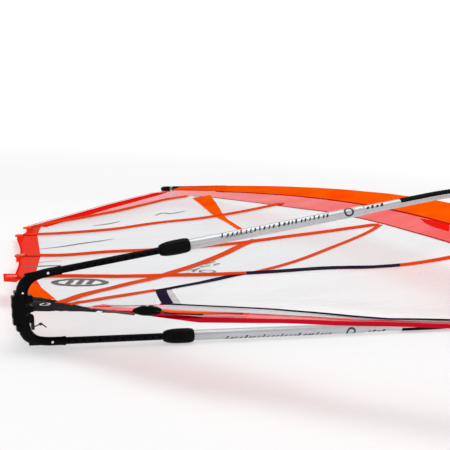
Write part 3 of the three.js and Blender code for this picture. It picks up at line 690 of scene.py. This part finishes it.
turned("clew_eye_ring", rounded([(-2.6, 12), (-2.6, 17.6), (2.6, 17.6), (2.6, 12), (-2.6, 12)], 1.6, 5),
    RIG @ Matrix.Translation((EYE[0] / 1000, EYE[1] / 1000, EYE_Z / 1000)) @ Matrix.Rotation(-math.pi / 2, 4,
    "Y"), "steel", "rig", ("clew_eye",), 48)

# seam tapes
ribbon("tape_clew_to_head", [(150, 40), (234, 129), (296, 182), (370, 236), (455, 304), (573, 388),
    (679, 491), (795, 593), (999, 788), (1120, 914), (1238, 1016)], 42, "orange_tape", 2.2)
ribbon("tape_clew_to_window", [(170, 8), (195, 21), (284, 59), (402, 110), (506, 156)], 36, "orange_tape",
    2.0)
ribbon("tape_window_to_luff", [(955, 402), (1181, 525), (1478, 693), (1719, 806), (1806, 863)], 30,
    "orange_tape", 2.0)
ribbon("tape_foot_red", [(238, -48), (334, -73), (466, -106)], 12, "bright_red", 1.6)
trim("tape_pink_top", [(240, -128), (339, -196), (473, -269), (567, -334), (660, -400), (764, -500),
    (841, -580), (1260, -868), (1850, -1225)], 7, "dark_red", 1.4)
ribbon("frame_top", [(496, 138), (545, 164), (640, 228), (740, 296), (824, 348), (906, 389), (962, 404),
    (1100, 396), (1245, 381), (1400, 318), (1500, 262)], 36, "navy", 2.4)
ribbon("frame_top_front", [(1500, 262), (1553, 232), (1700, 175), (1860, 148)], 30, "orange_tape", 2.4)
ribbon("frame_foot", [(448, -80), (547, -168), (607, -220), (728, -338), (802, -436), (869, -532),
    (944, -619), (1092, -705), (1250, -812), (1550, -1000), (1855, -1150)], 30, "navy", 2.0, smooth=False)
ribbon("frame_rear", [(469, -84), (494, 45), (517, 150)], 38, "navy", 1.6, 10)
ribbon("frame_rear_inner", [(497, -104), (525, 42), (546, 156)], 22, "grey_film", 1.3, 10)
ribbon("head_edge", [(b + 36, u - 34) for b, u in HEAD[:9]], lambda t: mix(96, 90, t), "bright_red", 1.2, 6,
    smooth=False)
trim("head_edge_dark", [(a - 8, b + 9) for a, b in HEAD[:9]], 9, "dark_red", 1.8, 6, smooth=False)
ribbon("head_edge_inner", [(p[0], p[1] + 3) for p in SEAM_A], 22, "orange_tape", 1.4)
trim("band_edge", [(table(BAND, u), u) for u in range(-1290, 2530, 90)], 9, "dark_red", 1.5, 3)
trim("sleeve_seam", [(mast_x(u) - sleeve(u) - 6, u) for u in range(-1290, 2540, 90)], 12, "dark_red", 1.8,
    3)
ribbon("head_stripe", [(1471, 2400), (1388, 2014), (1312, 1669), (1288, 1465), (1268, 1250)],
    lambda t: mix(112, 26, min(1, t * 1.5)), "orange", 2.6, 14)
patch("luff_wedge", [(1974, 787), (1990, 690), (2004, 607), (1970, 552), (1935, 505), (1932, 570),
    (1934, 637), (1950, 715)], "bright_red", 2.0, size=30)
EARS = (((35, 491), (75, 456), (100, 520), (97, 611), (52, 636)),
    ((131, 848), (162, 925), (192, 1000), (154, 1028)), ((210, 1285), (252, 1460), (268, 1546), (235, 1559),
    (226, 1478)), ((294, 1634), (322, 1640), (354, 1788), (330, 1800), (314, 1787)))
for i, outline in enumerate(EARS):
    patch(f"leech_ear_{i}", outline, "red", 1.1)
    patch(f"leech_ear_back_{i}", outline, "red", -1.0)

# battens in their pockets
for name, seam in (("lower", SEAM_D), ("middle", SEAM_C), ("upper", SEAM_B), ("head", SEAM_A)):
    a, b = Vector(seam[0]), Vector(seam[1])
    d = (b - a).normalized()
    last, end = Vector(seam[-2]), Vector(seam[-1])
    points = [a + d * 8] + [Vector(p) for p in seam[1:-1]] + [last.lerp(end, 0.85)]
    path = spline(points, 10)
    n = len(path)
    rows, verts, uvs, run = [], [], [], 0.0
    for i, p in enumerate(path):
        run += (p - path[i - 1]).length if i else 0
        side = side_of(path, i)
        close = clamp(min(i, n - 1 - i) / 2, 0.35, 1)
        for s in range(17):
            y = mix(-19, 19, s / 16)
            z = 1.9 + 8.0 * close * math.exp(-((abs(y) / 9.5) ** 6)) + 0.3 * noise.noise(Vector((run * 0.05,
                y, 0)))
            q = p + side * y
            verts.append(on_sail(q.x, q.y, z))
            uvs.append((run / 1000, y / 1000))
    _, faces = grid([[None] * 17] * n)
    obj = make(f"pocket_{name}", verts, faces, "pocket", "rig", (f"batten_pocket_{name}",), uvs)
    if name == "lower":
        obj.data.materials.append(M["navy"])
        for f in obj.data.polygons:
            f.material_index = 1 if 905 < path[f.index // 16].x < 1500 else 0
    for s in (-15.5, 15.5):
        trim(f"pocket_stitch_{name}_{'a' if s < 0 else 'b'}", [tuple(p + side_of(path, i) * s) for i,
            p in enumerate(path)][::3], 1.6, "dark_red", 2.3, 3, 0.2)
    rows = []
    for i, p in enumerate(path[1:-1]):
        side = side_of(path, i + 1)
        rows.append([on_sail(*(p + side * 6.3 * math.cos(t)),
            5.2 + 2.6 * math.sin(t)) for t in turns(14)])
    verts, faces = grid(rows, True, True)
    make(f"batten_bar_{name}", verts, faces, "batten", "rig", (f"batten_{name}",))
    tip_in, half = (-18, 10) if name == "head" else (-5, 17)
    rows, uvs = [], []
    for i in range(15):
        t = i / 14
        end_in = (1 - (2 * t - 1) ** 6) ** (1 / 6) if 0 < t < 1 else 0.55
        p = a + d * (tip_in - 38 * (1 - t))
        side = Vector((-d.y, d.x))
        ring = []
        for j in range(28):
            w = 2 * math.pi * j / 28
            cy, cz = math.cos(w), math.sin(w)
            e = (abs(cy) ** 4 + abs(cz) ** 4) ** -0.25
            rib = 1 - 0.06 * (0.5 + 0.5 * math.cos(t * 40)) * (0.25 < t < 0.9)
            q = p + side * cy * e * half * (0.75 + 0.25 * end_in) * rib
            ring.append(on_sail(q.x, q.y, 2.2 + cz * e * 5.7 * end_in))
            uvs.append((t * 0.04, w * 0.01))
        rows.append(ring)
    verts, faces = grid(rows, True, True)
    make(f"tip_{name}", verts, faces, "orange_tip", "rig", (f"batten_tip_{name}",), uvs, 50)
    ribbon(f"tip_tape_{name}", [tuple(a + d * (tip_in - 6)), tuple(a + d * (tip_in + 26)), tuple(a + d * 62)],
        half * 2 + 8, "bright_red", 3.4 if name != "head" else 2.6, 8, 1.0)

# printed marks: plain ring with three bars, loose strokes, thin pen lines
cx, cy = 284, 363


def emblem(x, y):
    return (cx + 0.963 * x + 0.21 * y, cy - 0.27 * x + 0.978 * y)


ring_points = [emblem(90 * math.cos(t), 57 * math.sin(t)) for t in turns(36, True)]
trim("mark_ring", ring_points, 24, "print", 1.2, 2, 0, closed=True)
for i, s in enumerate((-36, 0, 36)):
    reach = math.sqrt(1 - (s / 80) ** 2) * 38
    trim(f"mark_bar_{i}", [emblem(s - 8, -reach), emblem(s, 0), emblem(s + 8, reach)], 20, "print", 1.2, 6,
        0)
small = [(800 + 30 * math.cos(t), 462 + 26 * math.sin(t)) for t in turns(24, True)]
trim("mark_small_ring", small, 8, "print", 3.3, 2, 0, closed=True)
strokes = (((672, 432), (726, 446)), ((742, 470), (792, 530)), ((728, 505), (768, 500)),
    ((800, 548), (852, 568)), ((842, 600), (900, 640)), ((790, 590), (830, 640)), ((868, 575), (905, 600)))
for i, (p, q) in enumerate(strokes):
    trim(f"mark_stroke_{i}", [p, ((p[0] + q[0]) / 2, (p[1] + q[1]) / 2 + 4), q], 9, "print", 3.3, 5, 0)
PEN_LINES = (((258, 1120), (363, 1150), (462, 1198), (563, 1241), (639, 1282)),
    ((130, 727), (185, 725), (241, 718), (287, 713)), ((635, 1722), (681, 1738), (740, 1766), (807, 1819)),
    ((1028, 1915), (1094, 1982), (1120, 1937), (1171, 1950), (1226, 1975)),)
trim("pen_line_orange", [(138, 797), (198, 804), (259, 814), (306, 809)], 7, "orange", 1.2, 8, 0)
for i, pts in enumerate(PEN_LINES):
    trim(f"pen_line_{i}", pts, lambda t: 13 * (0.35 + math.sin(math.pi * t)), "print", 1.2, 8, 0)


# ---------------------------------------------------------------- mast and luff sleeve
def mast_path(u0, u1, step=60):
    n = max(2, round((u1 - u0) / step))
    return [Vector((mast_x(u), u, bow(u))) for u in [mix(u0, u1, k / n) for k in range(n + 1)]]


def mast_tube(name, u0, u1, mat, nodes, slot, extra=0.0, body="rig"):
    tube(name, mast_path(u0, u1), lambda t: 24 * taper(mix(u0, u1, t)) + extra, RIG, mat, body, nodes, slot,
        sides=48, up=Vector((0, 0, 1)))


mast_tube("mast_bottom", -1500, 549.7, "carbon", ("mast_bottom_section",), "mast_black")
mast_tube("mast_top", 550, 3089.5, "carbon", ("mast_top_section",), "mast_black")
for i, u in enumerate((-1490, 520, 556, 3062)):
    mast_tube(f"mast_ring_{i}", u, u + 22, "print_grey", (), None, 0.5)
refined("mast_tip_plug", "moulded", "rig", 0.8)

SECTION = [(-235, 1.2), (-170, 10.5), (-99, 24.5), (-45, 31), (-8, 31.4), (22.6, 22.6), (31.4, 0),
    (22.6, -22.6), (-8, -31.4), (-45, -31), (-99, -24.5), (-170, -10.5), (-235, -1.2)]


def sleeve_rows(u0, u1, steps, out=0.0, from_x=-235.0):
    ring = [p for p in spline(SECTION, 6)]
    rows = []
    for i in range(steps + 1):
        u = mix(u0, u1, i / steps)
        k = max(taper(u), 0.48)
        row = []
        slope = (mast_x(u + 5) - mast_x(u - 5)) / 10
        for p in ring:
            x, y = p
            if x < from_x:
                continue
            grow = (Vector((max(x + 8, 0), y)).normalized() if x > -8 else Vector((0,
                1 if y > 0 else -1))) * out
            soft = 1.6 * noise.noise(Vector((u * 0.006, x * 0.02,
                y * 0.03 + 5))) * clamp((x + 235) / 60) * (out == 0)
            x, y = x + grow.x, y + grow.y + soft * (1 if y > 0 else -1)
            rear = sleeve(u)
            px = -8 * k + ((x + 8) / 227) * (rear - 8 * k) if x < -8 else x * k
            zc = mix(bow(u), height(mast_x(u) - rear, u), clamp((-8 - x) / 227)) if x < -8 else bow(u)
            lean = 0 if x < -8 else x * k * slope
            row.append(RIG @ (Vector((mast_x(u) + px, u - lean, zc + y * k)) / 1000))
        rows.append(row)
    return rows


def sleeve_cloth(name, u0, u1, steps, mat, nodes, out=0.0, from_x=-235.0):
    rows = sleeve_rows(u0, u1, steps, out, from_x)
    verts, faces = grid(rows)
    uvs, run = [], 0.0
    around = [0.0]
    for a, b in zip(rows[0], rows[0][1:]):
        around.append(around[-1] + (b - a).length)
    for i, row in enumerate(rows):
        uvs += [(s, mix(u0, u1, i / steps) / 1000) for s in around]
    obj = make(name, verts, faces, mat, "rig", nodes, uvs)
    return obj


sleeve_cloth("sleeve_lower_cloth", -1380, -210, 40, "orange", ("luff_sleeve_lower",))
sleeve_cloth("sleeve_upper_cloth", 270, 2990, 90, "orange", ("luff_sleeve_upper",))
for i, (u0, u1) in enumerate(((-1381, -1362), (-228, -209), (269, 288))):
    sleeve_cloth(f"sleeve_hem_{i}", u0, u1, 4, "webbing", (), 1.0)
sleeve_cloth("head_cap", 2660, 3080, 24, "webbing", (), 3.0, -45)

# ---------------------------------------------------------------- boom arms
def armed(x):
    return 99 + 0.0923 * x


def drilled(name, x0, x1, r, r_in, matrix, mat, body, nodes, holes):
    """smooth tube with holes drilled through the wall facing away from the mast side"""
    place = mm(matrix)
    rows = []
    for x, q in rounded([(x0, r_in), (x0, r), (x1, r), (x1, r_in), (x0, r_in)], 0.6, 2):
        rows.append([Vector((x, q * math.cos(2 * math.pi * j / 64),
            q * math.sin(2 * math.pi * j / 64))) for j in range(64)])
    verts, faces = grid(rows, True)
    bm = bmesh.new()
    vs = [bm.verts.new(v) for v in verts]
    for f in faces:
        try:
            bm.faces.new([vs[k] for k in f])
        except ValueError:
            pass
    bmesh.ops.remove_doubles(bm, verts=bm.verts, dist=1e-4)
    bmesh.ops.recalc_face_normals(bm, faces=bm.faces)
    base = bpy.data.meshes.new(name)
    bm.to_mesh(base)
    bm.free()
    cut = bmesh.new()
    for x, q in holes:
        bmesh.ops.create_cone(cut, cap_ends=True, segments=24, radius1=q, radius2=q, depth=14,
            matrix=Matrix.Translation((x, -r, 0)) @ Matrix.Rotation(math.pi / 2, 4, "X"))
    cutter = bpy.data.meshes.new(name + "_cut")
    cut.to_mesh(cutter)
    cut.free()
    tool, work = linked(name + "_cut", cutter), linked(name + "_work", base)
    mod = work.modifiers.new("cut", "BOOLEAN")
    mod.operation, mod.object, mod.solver = "DIFFERENCE", tool, "EXACT"
    bpy.context.view_layer.update()
    done = bpy.data.meshes.new_from_object(work.evaluated_get(bpy.context.evaluated_depsgraph_get()))
    for o in (tool, work):
        bpy.data.objects.remove(o, do_unlink=True)
    done.transform(place)
    return add_object(name, finished(done, mat, 35), body, nodes)


def arm_patch(name, matrix, x0, x1, a0, a1, r, mat, slant=0.0, raised=0.15):
    """thin mark on a tube: x0 to x1 along it, a0 to a1 degrees from straight aft toward +Z"""
    place = mm(matrix)
    rows = []
    for i in range(5):
        row = []
        for j in range(7):
            a = math.radians(mix(a0, a1, j / 6))
            x = mix(x0, x1, i / 4) + slant * (j / 6 - 0.5)
            row.append(place @ Vector((x, -(r + raised) * math.cos(a), (r + raised) * math.sin(a))))
        rows.append(row)
    verts, faces = grid(rows)
    return make(name, verts, faces, mat, "rig")


def ribbed(x, t):
    s = (t / (math.pi / 6)) % 2
    groove = math.exp(-(((s - 1) / 0.16) ** 2))
    return 1 - 0.10 * groove * clamp((x - 494) / 12) * clamp((572 - x) / 10)


TUBE_R, TUBE_BORE = 11.25, 9.25  # sliding extension tube
REAR_R, REAR_BORE = 17.5, 15.9  # silver tube it slides into
FIRST_HOLE, HOLE_PITCH, HOLES = 162, 25, 14
MARK_START, MARK_PITCH, MARKS = 690, 17, 24
RING_AT = 1166
for side, arm in ARMS.items():
    sign = 1 if side == "upper" else -1
    holes = [(FIRST_HOLE + HOLE_PITCH * k, 3.4) for k in range(HOLES)] + [(112, 4.7)]
    drilled(f"extension_{side}", 42, 1060, TUBE_R, TUBE_BORE, arm, "black_tube", "tail",
        (f"boom_extension_{side}",), holes)
    rear = [(578, REAR_BORE), (578, REAR_R), (1200, REAR_R), (1200, REAR_BORE), (578, REAR_BORE)]
    turned(f"rear_tube_{side}", rounded(rear, 0.8, 3), arm, "silver", "rig", (f"boom_rear_tube_{side}",),
        64)
    turned(f"tube_seat_{side}", rounded([(1196, 16), (1196, 17.9), (1224, 17.7), (1232, 15.7), (1196, 16)],
        1.0, 3), arm, "silver", "rig", (), 48)
    profile = [(478, 14.3), (478, 16.6), (484, 19.2), (492, 21.4), (504, 23.2), (520, 24.3), (540, 24.6),
        (560, 24.4), (570, 23.4), (575.5, 21.9), (577.6, 20.4), (577.6, 14.3), (478, 14.3)]
    fine = []
    for p, q in zip(profile, profile[1:]):
        fine += [(mix(p[0], q[0], k / 4), mix(p[1], q[1], k / 4)) for k in range(4)]
    turned(f"collar_{side}", fine + [profile[-1]], arm, "rubber", f"collar_{side}", (f"boom_collar_{side}",),
        144, ribbed, 50)
    turned(f"pin_{side}", [(-6.4, 0.01), (-6.3, 2.2), (-5.4, 3.6), (-4.0, 4.3), (6.2, 4.3), (6.2, 0.01)],
        arm @ Matrix.Translation((0.112, -0.009, 0)) @ Matrix.Rotation(math.pi / 2, 4, "Z"), "white",
        f"pin_{side}", (f"push_pin_{side}",), 32)
    lo = 20 if sign > 0 else -62
    for k in range(MARKS):
        h = noise.noise(Vector((k * 1.7, sign * 3.1, 0.5)))
        x = MARK_START + k * MARK_PITCH + 5 * h
        reach = 5 + 5 * abs(h)
        arm_patch(f"mark_{side}_{k}", arm, x, x + reach, lo - 8, lo + (34 if k % 4 else 50), 17.5, "print", 7)
    for k in range(7):
        arm_patch(f"fine_mark_{side}_{k}", arm, 700 + k * 15, 709 + k * 15, lo - 14, lo - 4, 17.5,
            "print_grey", 2)
    rows = []
    place = mm(arm)
    for k in range(33):
        t = 2 * math.pi * k / 32
        row = []
        for q in (12, 15, 19):
            x, y = RING_AT + q * math.cos(t), q * math.sin(t) + (9 if sign > 0 else -10)
            a = y / 17.8
            row.append(place @ Vector((x, -17.8 * math.cos(a), 17.8 * math.sin(a))))
        rows.append(row)
    verts, faces = grid(rows)
    make(f"arm_ring_{side}", verts, faces, "print", "rig")
    for k in range(4):
        arm_patch(f"ring_tick_{side}_{k}", arm, 1238 + 19 * k, 1248 + 19 * k, lo - 4,
            lo + (44 if k % 2 else 30), 15.6, "print", 6)

# front tube, bent round to the mast
FRONT = [(1105, armed(1105)), (1300, armed(1300)), (1440, armed(1440)), (1560, armed(1560) - 1), (1680, 245),
    (1800, 238), (1920, 217), (2030, 182), (2115, 138), (2168, 92), (2188, 50)]
loop = [(x, 0, z) for x, z in FRONT] + [(2189, 0, 0)] + [(x, 0, -z) for x, z in reversed(FRONT)]
front_path = spline(loop, 12)
tube("front_tube", front_path, 15.3, RIG, "silver", "rig", ("boom_front_tube",), "silver_tube", sides=48)


def half_grip(name, points, sign):
    path = spline(points, 10)
    place = mm(RIG)
    rows = []
    n = len(path)
    for i, p in enumerate(path):
        d = (path[min(i + 1, n - 1)] - path[max(i - 1, 0)]).normalized()
        out = Vector((-d.z, 0, d.x)) * (1 if d.x > 0 else -1)
        if out.z * sign < 0:
            out = -out
        row = []
        for j in range(15):
            a = math.radians(mix(-78, 78, j / 14))
            thick = 1.7 * clamp((78 - abs(mix(-78, 78, j / 14))) / 14) * clamp(min(i, n - 1 - i) / 1.5, 0.1,
                1)
            ribs = 0.12 * math.sin(i * 1.9)
            row.append(place @ (p + (out * math.cos(a) + Vector((0, 1,
                0)) * math.sin(a)) * (15.4 + thick + ribs * (j % 14 > 0))))
        rows.append(row)
    verts, faces = grid(rows)
    make(name, verts, faces, "grip", "rig", ())


half_grip("grip_upper", [(1372, 0, armed(1372) - 0.2), (1440, 0, armed(1440)), (1560, 0, armed(1560) - 1),
    (1680, 0, 245), (1800, 0, 238), (1920, 0, 217), (2030, 0, 182), (2090, 0, 152)], 1)
half_grip("grip_lower", [(1372, 0, -armed(1372) + 0.2), (1440, 0, -armed(1440)), (1560, 0, 1 - armed(1560)),
    (1680, 0, -245), (1800, 0, -238), (1920, 0, -217), (2030, 0, -182), (2090, 0, -152)], -1)

# ---------------------------------------------------------------- boom tail
TAIL = [(155, armed(155)), (134, armed(134)), (115, armed(115)), (100, armed(100) - 0.4),
    (87, armed(87) - 1.6), (74, 102.2), (62, 98), (51, 91.8), (42, 84), (35.5, 74), (31, 62)]
tail_loop = [(x, 0, z) for x, z in TAIL] + [(27.5, 0, 31), (26, 0, 0), (27.5, 0, -31)] + [(x, 0, -z) for x,
    z in reversed(TAIL)]
tail_path = spline(tail_loop, 7)
tail_len = sum((b - a).length for a, b in zip(tail_path, tail_path[1:]))


def tail_radius(share):
    run = share * tail_len
    from_end = min(run, tail_len - run)
    base = 13.3 + 4.6 * clamp((from_end - 80) / 45) ** 2 * (3 - 2 * clamp((from_end - 80) / 45))
    lip = 1.1 * math.exp(-(((from_end - 5) / 4) ** 2))
    bands = 0.55 * max(0, math.sin(from_end * 0.52)) ** 6 * clamp((from_end - 40) / 20)
    return base + lip + bands


tube("tail_loop", tail_path, tail_radius, RIG, "moulded", "tail", ("boom_tail_end",), "black_plastic",
    sides=40, squash=lambda run, t: 1 + 0.03 * abs(math.cos(2 * t)))


def bevelled(name, boxes, matrix, mat, body, bevel=2.0, nodes=(), rods=()):
    bm = bmesh.new()
    for b in boxes:
        box_part(bm, *b)
    for at, axis, r, depth in rods:
        turn = {"X": Matrix.Rotation(math.pi / 2, 4, "Y"), "Y": Matrix.Rotation(math.pi / 2, 4, "X"),
            "Z": Matrix.Identity(4)}[axis]
        bmesh.ops.create_cone(bm, cap_ends=True, segments=32, radius1=r, radius2=r, depth=depth,
            matrix=Matrix.Translation(at) @ turn)
    sharp = [e for e in bm.edges if len(e.link_faces) == 2 and e.calc_face_angle(0) > 0.8]
    bmesh.ops.bevel(bm, geom=sharp, offset=bevel, segments=4, profile=0.5, affect="EDGES", clamp_overlap=True)
    bm.transform(mm(matrix))
    mesh = bpy.data.meshes.new(name)
    bm.to_mesh(mesh)
    bm.free()
    return add_object(name, finished(mesh, mat, 32), body, nodes)


bevelled("tail_block", [(-3, 16, -15, 15, -42, 48), (6, 60, -14.5, 14.5, 24.4, 45.5),
    (6, 60, -14.5, 14.5, -5.6, 11.6), (6, 60, -14.5, 14.5, -39.5, -18.4), (6, 44, -17.4, 17.4, -62, -44),
    (6, 44, -17.4, 17.4, 50, 62)], RIG, "moulded", "tail", 3.2, (),
    [((38, 0, 46), "Z", 11, 4), ((38, 0, -40), "Z", 11, 4), ((-3, 0, 18), "X", 9, 3),
    ((-3, 0, -12), "X", 9, 3)])
turned("tail_screw_white", [(-3.4, 0.01), (-3.3, 1.6), (-2.6, 2.9), (-1.8, 3.2), (1, 3.2), (1, 0.01)],
    RIG @ Matrix.Translation((0.03, -0.0178, 0.057)) @ Matrix.Rotation(math.pi / 2, 4, "Z"), "white", "tail",
    (), 24)
turned("outhaul_axle_pin", rounded([(-26, 0.01), (-26, 3), (32, 3), (32, 0.01)], 0.6, 3),
    RIG @ Matrix.Translation((0.038, 0, 0)) @ Matrix.Rotation(-math.pi / 2, 4, "Y"), "steel", "tail",
    ("outhaul_axle",), 32)


def sheave(name, matrix, body, node, half, r_out, r_in):
    prof = rounded([(-half, 3.5), (-half, r_out), (-half * 0.55, r_out - 0.3), (-1.4, r_in), (1.4, r_in),
        (half * 0.55, r_out - 0.3), (half, r_out), (half, 3.5), (-half, 3.5)], 0.7, 3)
    turned(name, prof, matrix, "dark", body, (node,), 64, None, 40)


for i, z in ((1, 0.018), (2, -0.012)):
    sheave(f"sheave_{i}", RIG @ Matrix.Translation((0.038, 0, z)) @ Matrix.Rotation(-math.pi / 2, 4, "Y"),
        f"sheave_{i}", f"outhaul_sheave_{i}", 4.6, 17, 13)
refined("outhaul_cleat", "dark", "tail", 0.8)

# ---------------------------------------------------------------- foot tensioner
lens = [(4, 0.01), (5.4, 3.6), (10, 6.4), (18, 10), (26, 12.7), (37, 14.5), (48, 15), (60, 14.4), (70, 13),
    (79, 10.8), (86.5, 8), (91, 4.6), (92, 0.01)]
turned("tensioner_shell", [tuple(p) for p in spline(lens, 4)], TENSIONER, "moulded", "rig",
    ("foot_tensioner_body",), 64, lambda x,
    t: 1 - 0.035 * math.exp(-(((x - 48) / 40) ** 4)) * (math.sin(t) > 0.93), 60)
bevelled("tensioner_plate", [(31, 66, -7, 7, 13.2, 15.2)], TENSIONER, "dark", "rig", 0.7, ())
refined("foot_tensioner_screw", "steel", "tension_screw", 0.4)
bevelled("foot_batten_bar", [(96, 330, -4, 4, -11, -7)], TENSIONER, "batten", "rig", 1.2, ("foot_batten",))


def strap(name, rows_at, mat):
    """cloth strip in the tensioner's frame: stations of (x, y, half width, z)"""
    pts = spline([Vector(p) for p in rows_at], 8)
    place = mm(TENSIONER)
    rows, uvs = [], []
    for p in pts:
        x, y, half, z = p
        row = []
        for j in range(9):
            s = j / 4 - 1
            row.append(place @ Vector((x, y + s * half, z + 2.2 * (1 - s * s))))
            uvs.append((x / 1000, s * half / 1000))
        rows.append(row)
    verts, faces = grid(rows)
    obj = make(name, verts, faces, mat, "rig", (), uvs)


strap("foot_sleeve_orange", [(64, 4, 9, 4), (110, 5, 11, -3), (180, 6, 12, -7), (250, 6, 13, -9),
    (345, 6, 12, -12)], "orange")
strap("foot_sleeve_black", [(66, -8, 5, 3), (114, -10, 6, -5), (175, -11, 6, -9), (215, -11, 4, -11)],
    "webbing")
foot_rope = spline([(b, u, height(b, u) + k) for b, u, k in ((226, -104, 4), (252, -150, 5), (282, -205, 6),
    (312, -256, 8))], 8)
tube("foot_bolt_rope", [Vector(p) for p in foot_rope], 3.2, RIG, "line", "rig", (), "line", sides=12,
    up=Vector((0, 0, 1)))

# ---------------------------------------------------------------- boom head, mast foot end
refined("boom_head", "moulded", "rig", 1.6)
refined("boom_head_liner", "rubber", "rig", 0.5)
refined("boom_head_lever", "dark", "head_lever", 1.4)
refined("extension_base", "moulded", "extension", 1.4)
refined("extension_ring", "dark", "extension", 1.4)
refined("mast_extension_tube", "alloy", "extension", 0.5)
refined("tack_block", "steel", "rig", 1.2)
turned("downhaul_axle_pin", rounded([(-19.5, 0.01), (-19.5, 3), (19.5, 3), (19.5, 0.01)], 0.6, 3),
    BASE @ Matrix.Translation((-0.062, -0.1, 0)) @ Matrix.Rotation(-math.pi / 2, 4, "Y"), "steel",
    "extension", ("downhaul_axle",), 32)
sheave("base_sheave",
    BASE @ Matrix.Translation((-0.062, -0.1, 0.0085)) @ Matrix.Rotation(-math.pi / 2, 4, "Y"),
    "downhaul_sheave_wheel", "downhaul_sheave", 4.6, 19, 14)
sheave("tack_wheel_fine",
    BASE @ Matrix.Translation((-0.062, 0.04, 0)) @ Matrix.Rotation(-math.pi / 2, 4, "Y"), "tack_wheel",
    "tack_sheave", 4.4, 14, 10.5)
for k in range(12):
    place = BASE @ Matrix.Rotation(k * math.pi / 6, 4, "Y")
    bevelled(f"base_rib_{k}", [(29.6, 32, -176, -160, -3, 3)], place, "moulded", "extension", 0.8)
ferrule = next(o for o in bpy.data.objects if o.name == "mast_ferrule")
for s in ferrule.material_slots:
    s.material = M["carbon"]
if not ferrule.material_slots:
    ferrule.data.materials.append(M["carbon"])

# ---------------------------------------------------------------- stage
floor_mesh = bpy.data.meshes.new("floor")
floor_mesh.from_pydata([(-40, -40, -0.0004), (40, -40, -0.0004), (40, 60, -0.0004), (-40, 60, -0.0004)], [],
    [(0, 1, 2, 3)])
floor = linked("floor", floor_mesh)
floor_mat, floor_tree, floor_bsdf = new_material("studio_floor")
# the floor glows with painted light: about half strength near the rig, which lifts the shadows there, and
# full white away from the rig, like a cove lit from below
floor_bsdf.inputs["Roughness"].default_value = 0.6
floor_bsdf.inputs["Specular IOR Level"].default_value = 0
floor_bsdf.inputs["Emission Color"].default_value = (1, 1, 1, 1)
place = coords(floor_tree)
reach = floor_tree.nodes.new("ShaderNodeVectorMath")
reach.operation = "LENGTH"
floor_tree.links.new(place, reach.inputs[0])
GLOW_FROM, GLOW_TO = 2.2, 5.5  # metres from the rig
tone = ranged(floor_tree, reach.outputs["Value"], GLOW_FROM, GLOW_TO, 0.55, 0.0)
floor_tree.links.new(mixed(floor_tree, tone, (0, 0, 0), (1, 1, 1)), floor_bsdf.inputs["Base Color"])
floor_tree.links.new(ranged(floor_tree, reach.outputs["Value"], GLOW_FROM, GLOW_TO, 0.46, 1.03),
    floor_bsdf.inputs["Emission Strength"])
floor_mesh.materials.append(floor_mat)


def softbox(name, at, to, size, power, colour=(1, 1, 1)):
    data = bpy.data.lights.new(name, "AREA")
    data.shape = "RECTANGLE"
    data.size, data.size_y = size
    data.energy = power
    data.color = colour
    obj = linked(name, data)
    obj.location = at
    obj.rotation_euler = (Vector(to) - Vector(at)).to_track_quat("-Z", "Y").to_euler()


softbox("top_back", (0.4, -0.2, 4.4), (0.1, -0.3, 0), (4.0, 3.0), 95)
softbox("front_left", (-4.2, -3.6, 2.6), (-0.4, -0.6, 0.1), (2.4, 2.4), 14)
backdrop_rows = [[(30 * math.cos(2 * math.pi * k / 48), 30 * math.sin(2 * math.pi * k / 48),
    z) for k in range(49)] for z in (-0.5, 14)]
verts, faces = grid(backdrop_rows)
wall_mesh = bpy.data.meshes.new("backdrop")
wall_mesh.from_pydata(verts, [], faces)
wall = linked("backdrop", wall_mesh)
wall_mat, _, wall_bsdf = new_material("backdrop_glow")
wall_bsdf.inputs["Base Color"].default_value = (0, 0, 0, 1)
wall_bsdf.inputs["Emission Color"].default_value = (1, 1, 1, 1)
wall_bsdf.inputs["Emission Strength"].default_value = 1.0
wall_mesh.materials.append(wall_mat)
world = bpy.data.worlds.new("studio")
bpy.context.scene.world = world
world.use_nodes = True
world.node_tree.nodes["Background"].inputs["Color"].default_value = (1, 1, 1, 1)
world.node_tree.nodes["Background"].inputs["Strength"].default_value = 0.5
bpy.context.scene.view_settings.view_transform = "Standard"
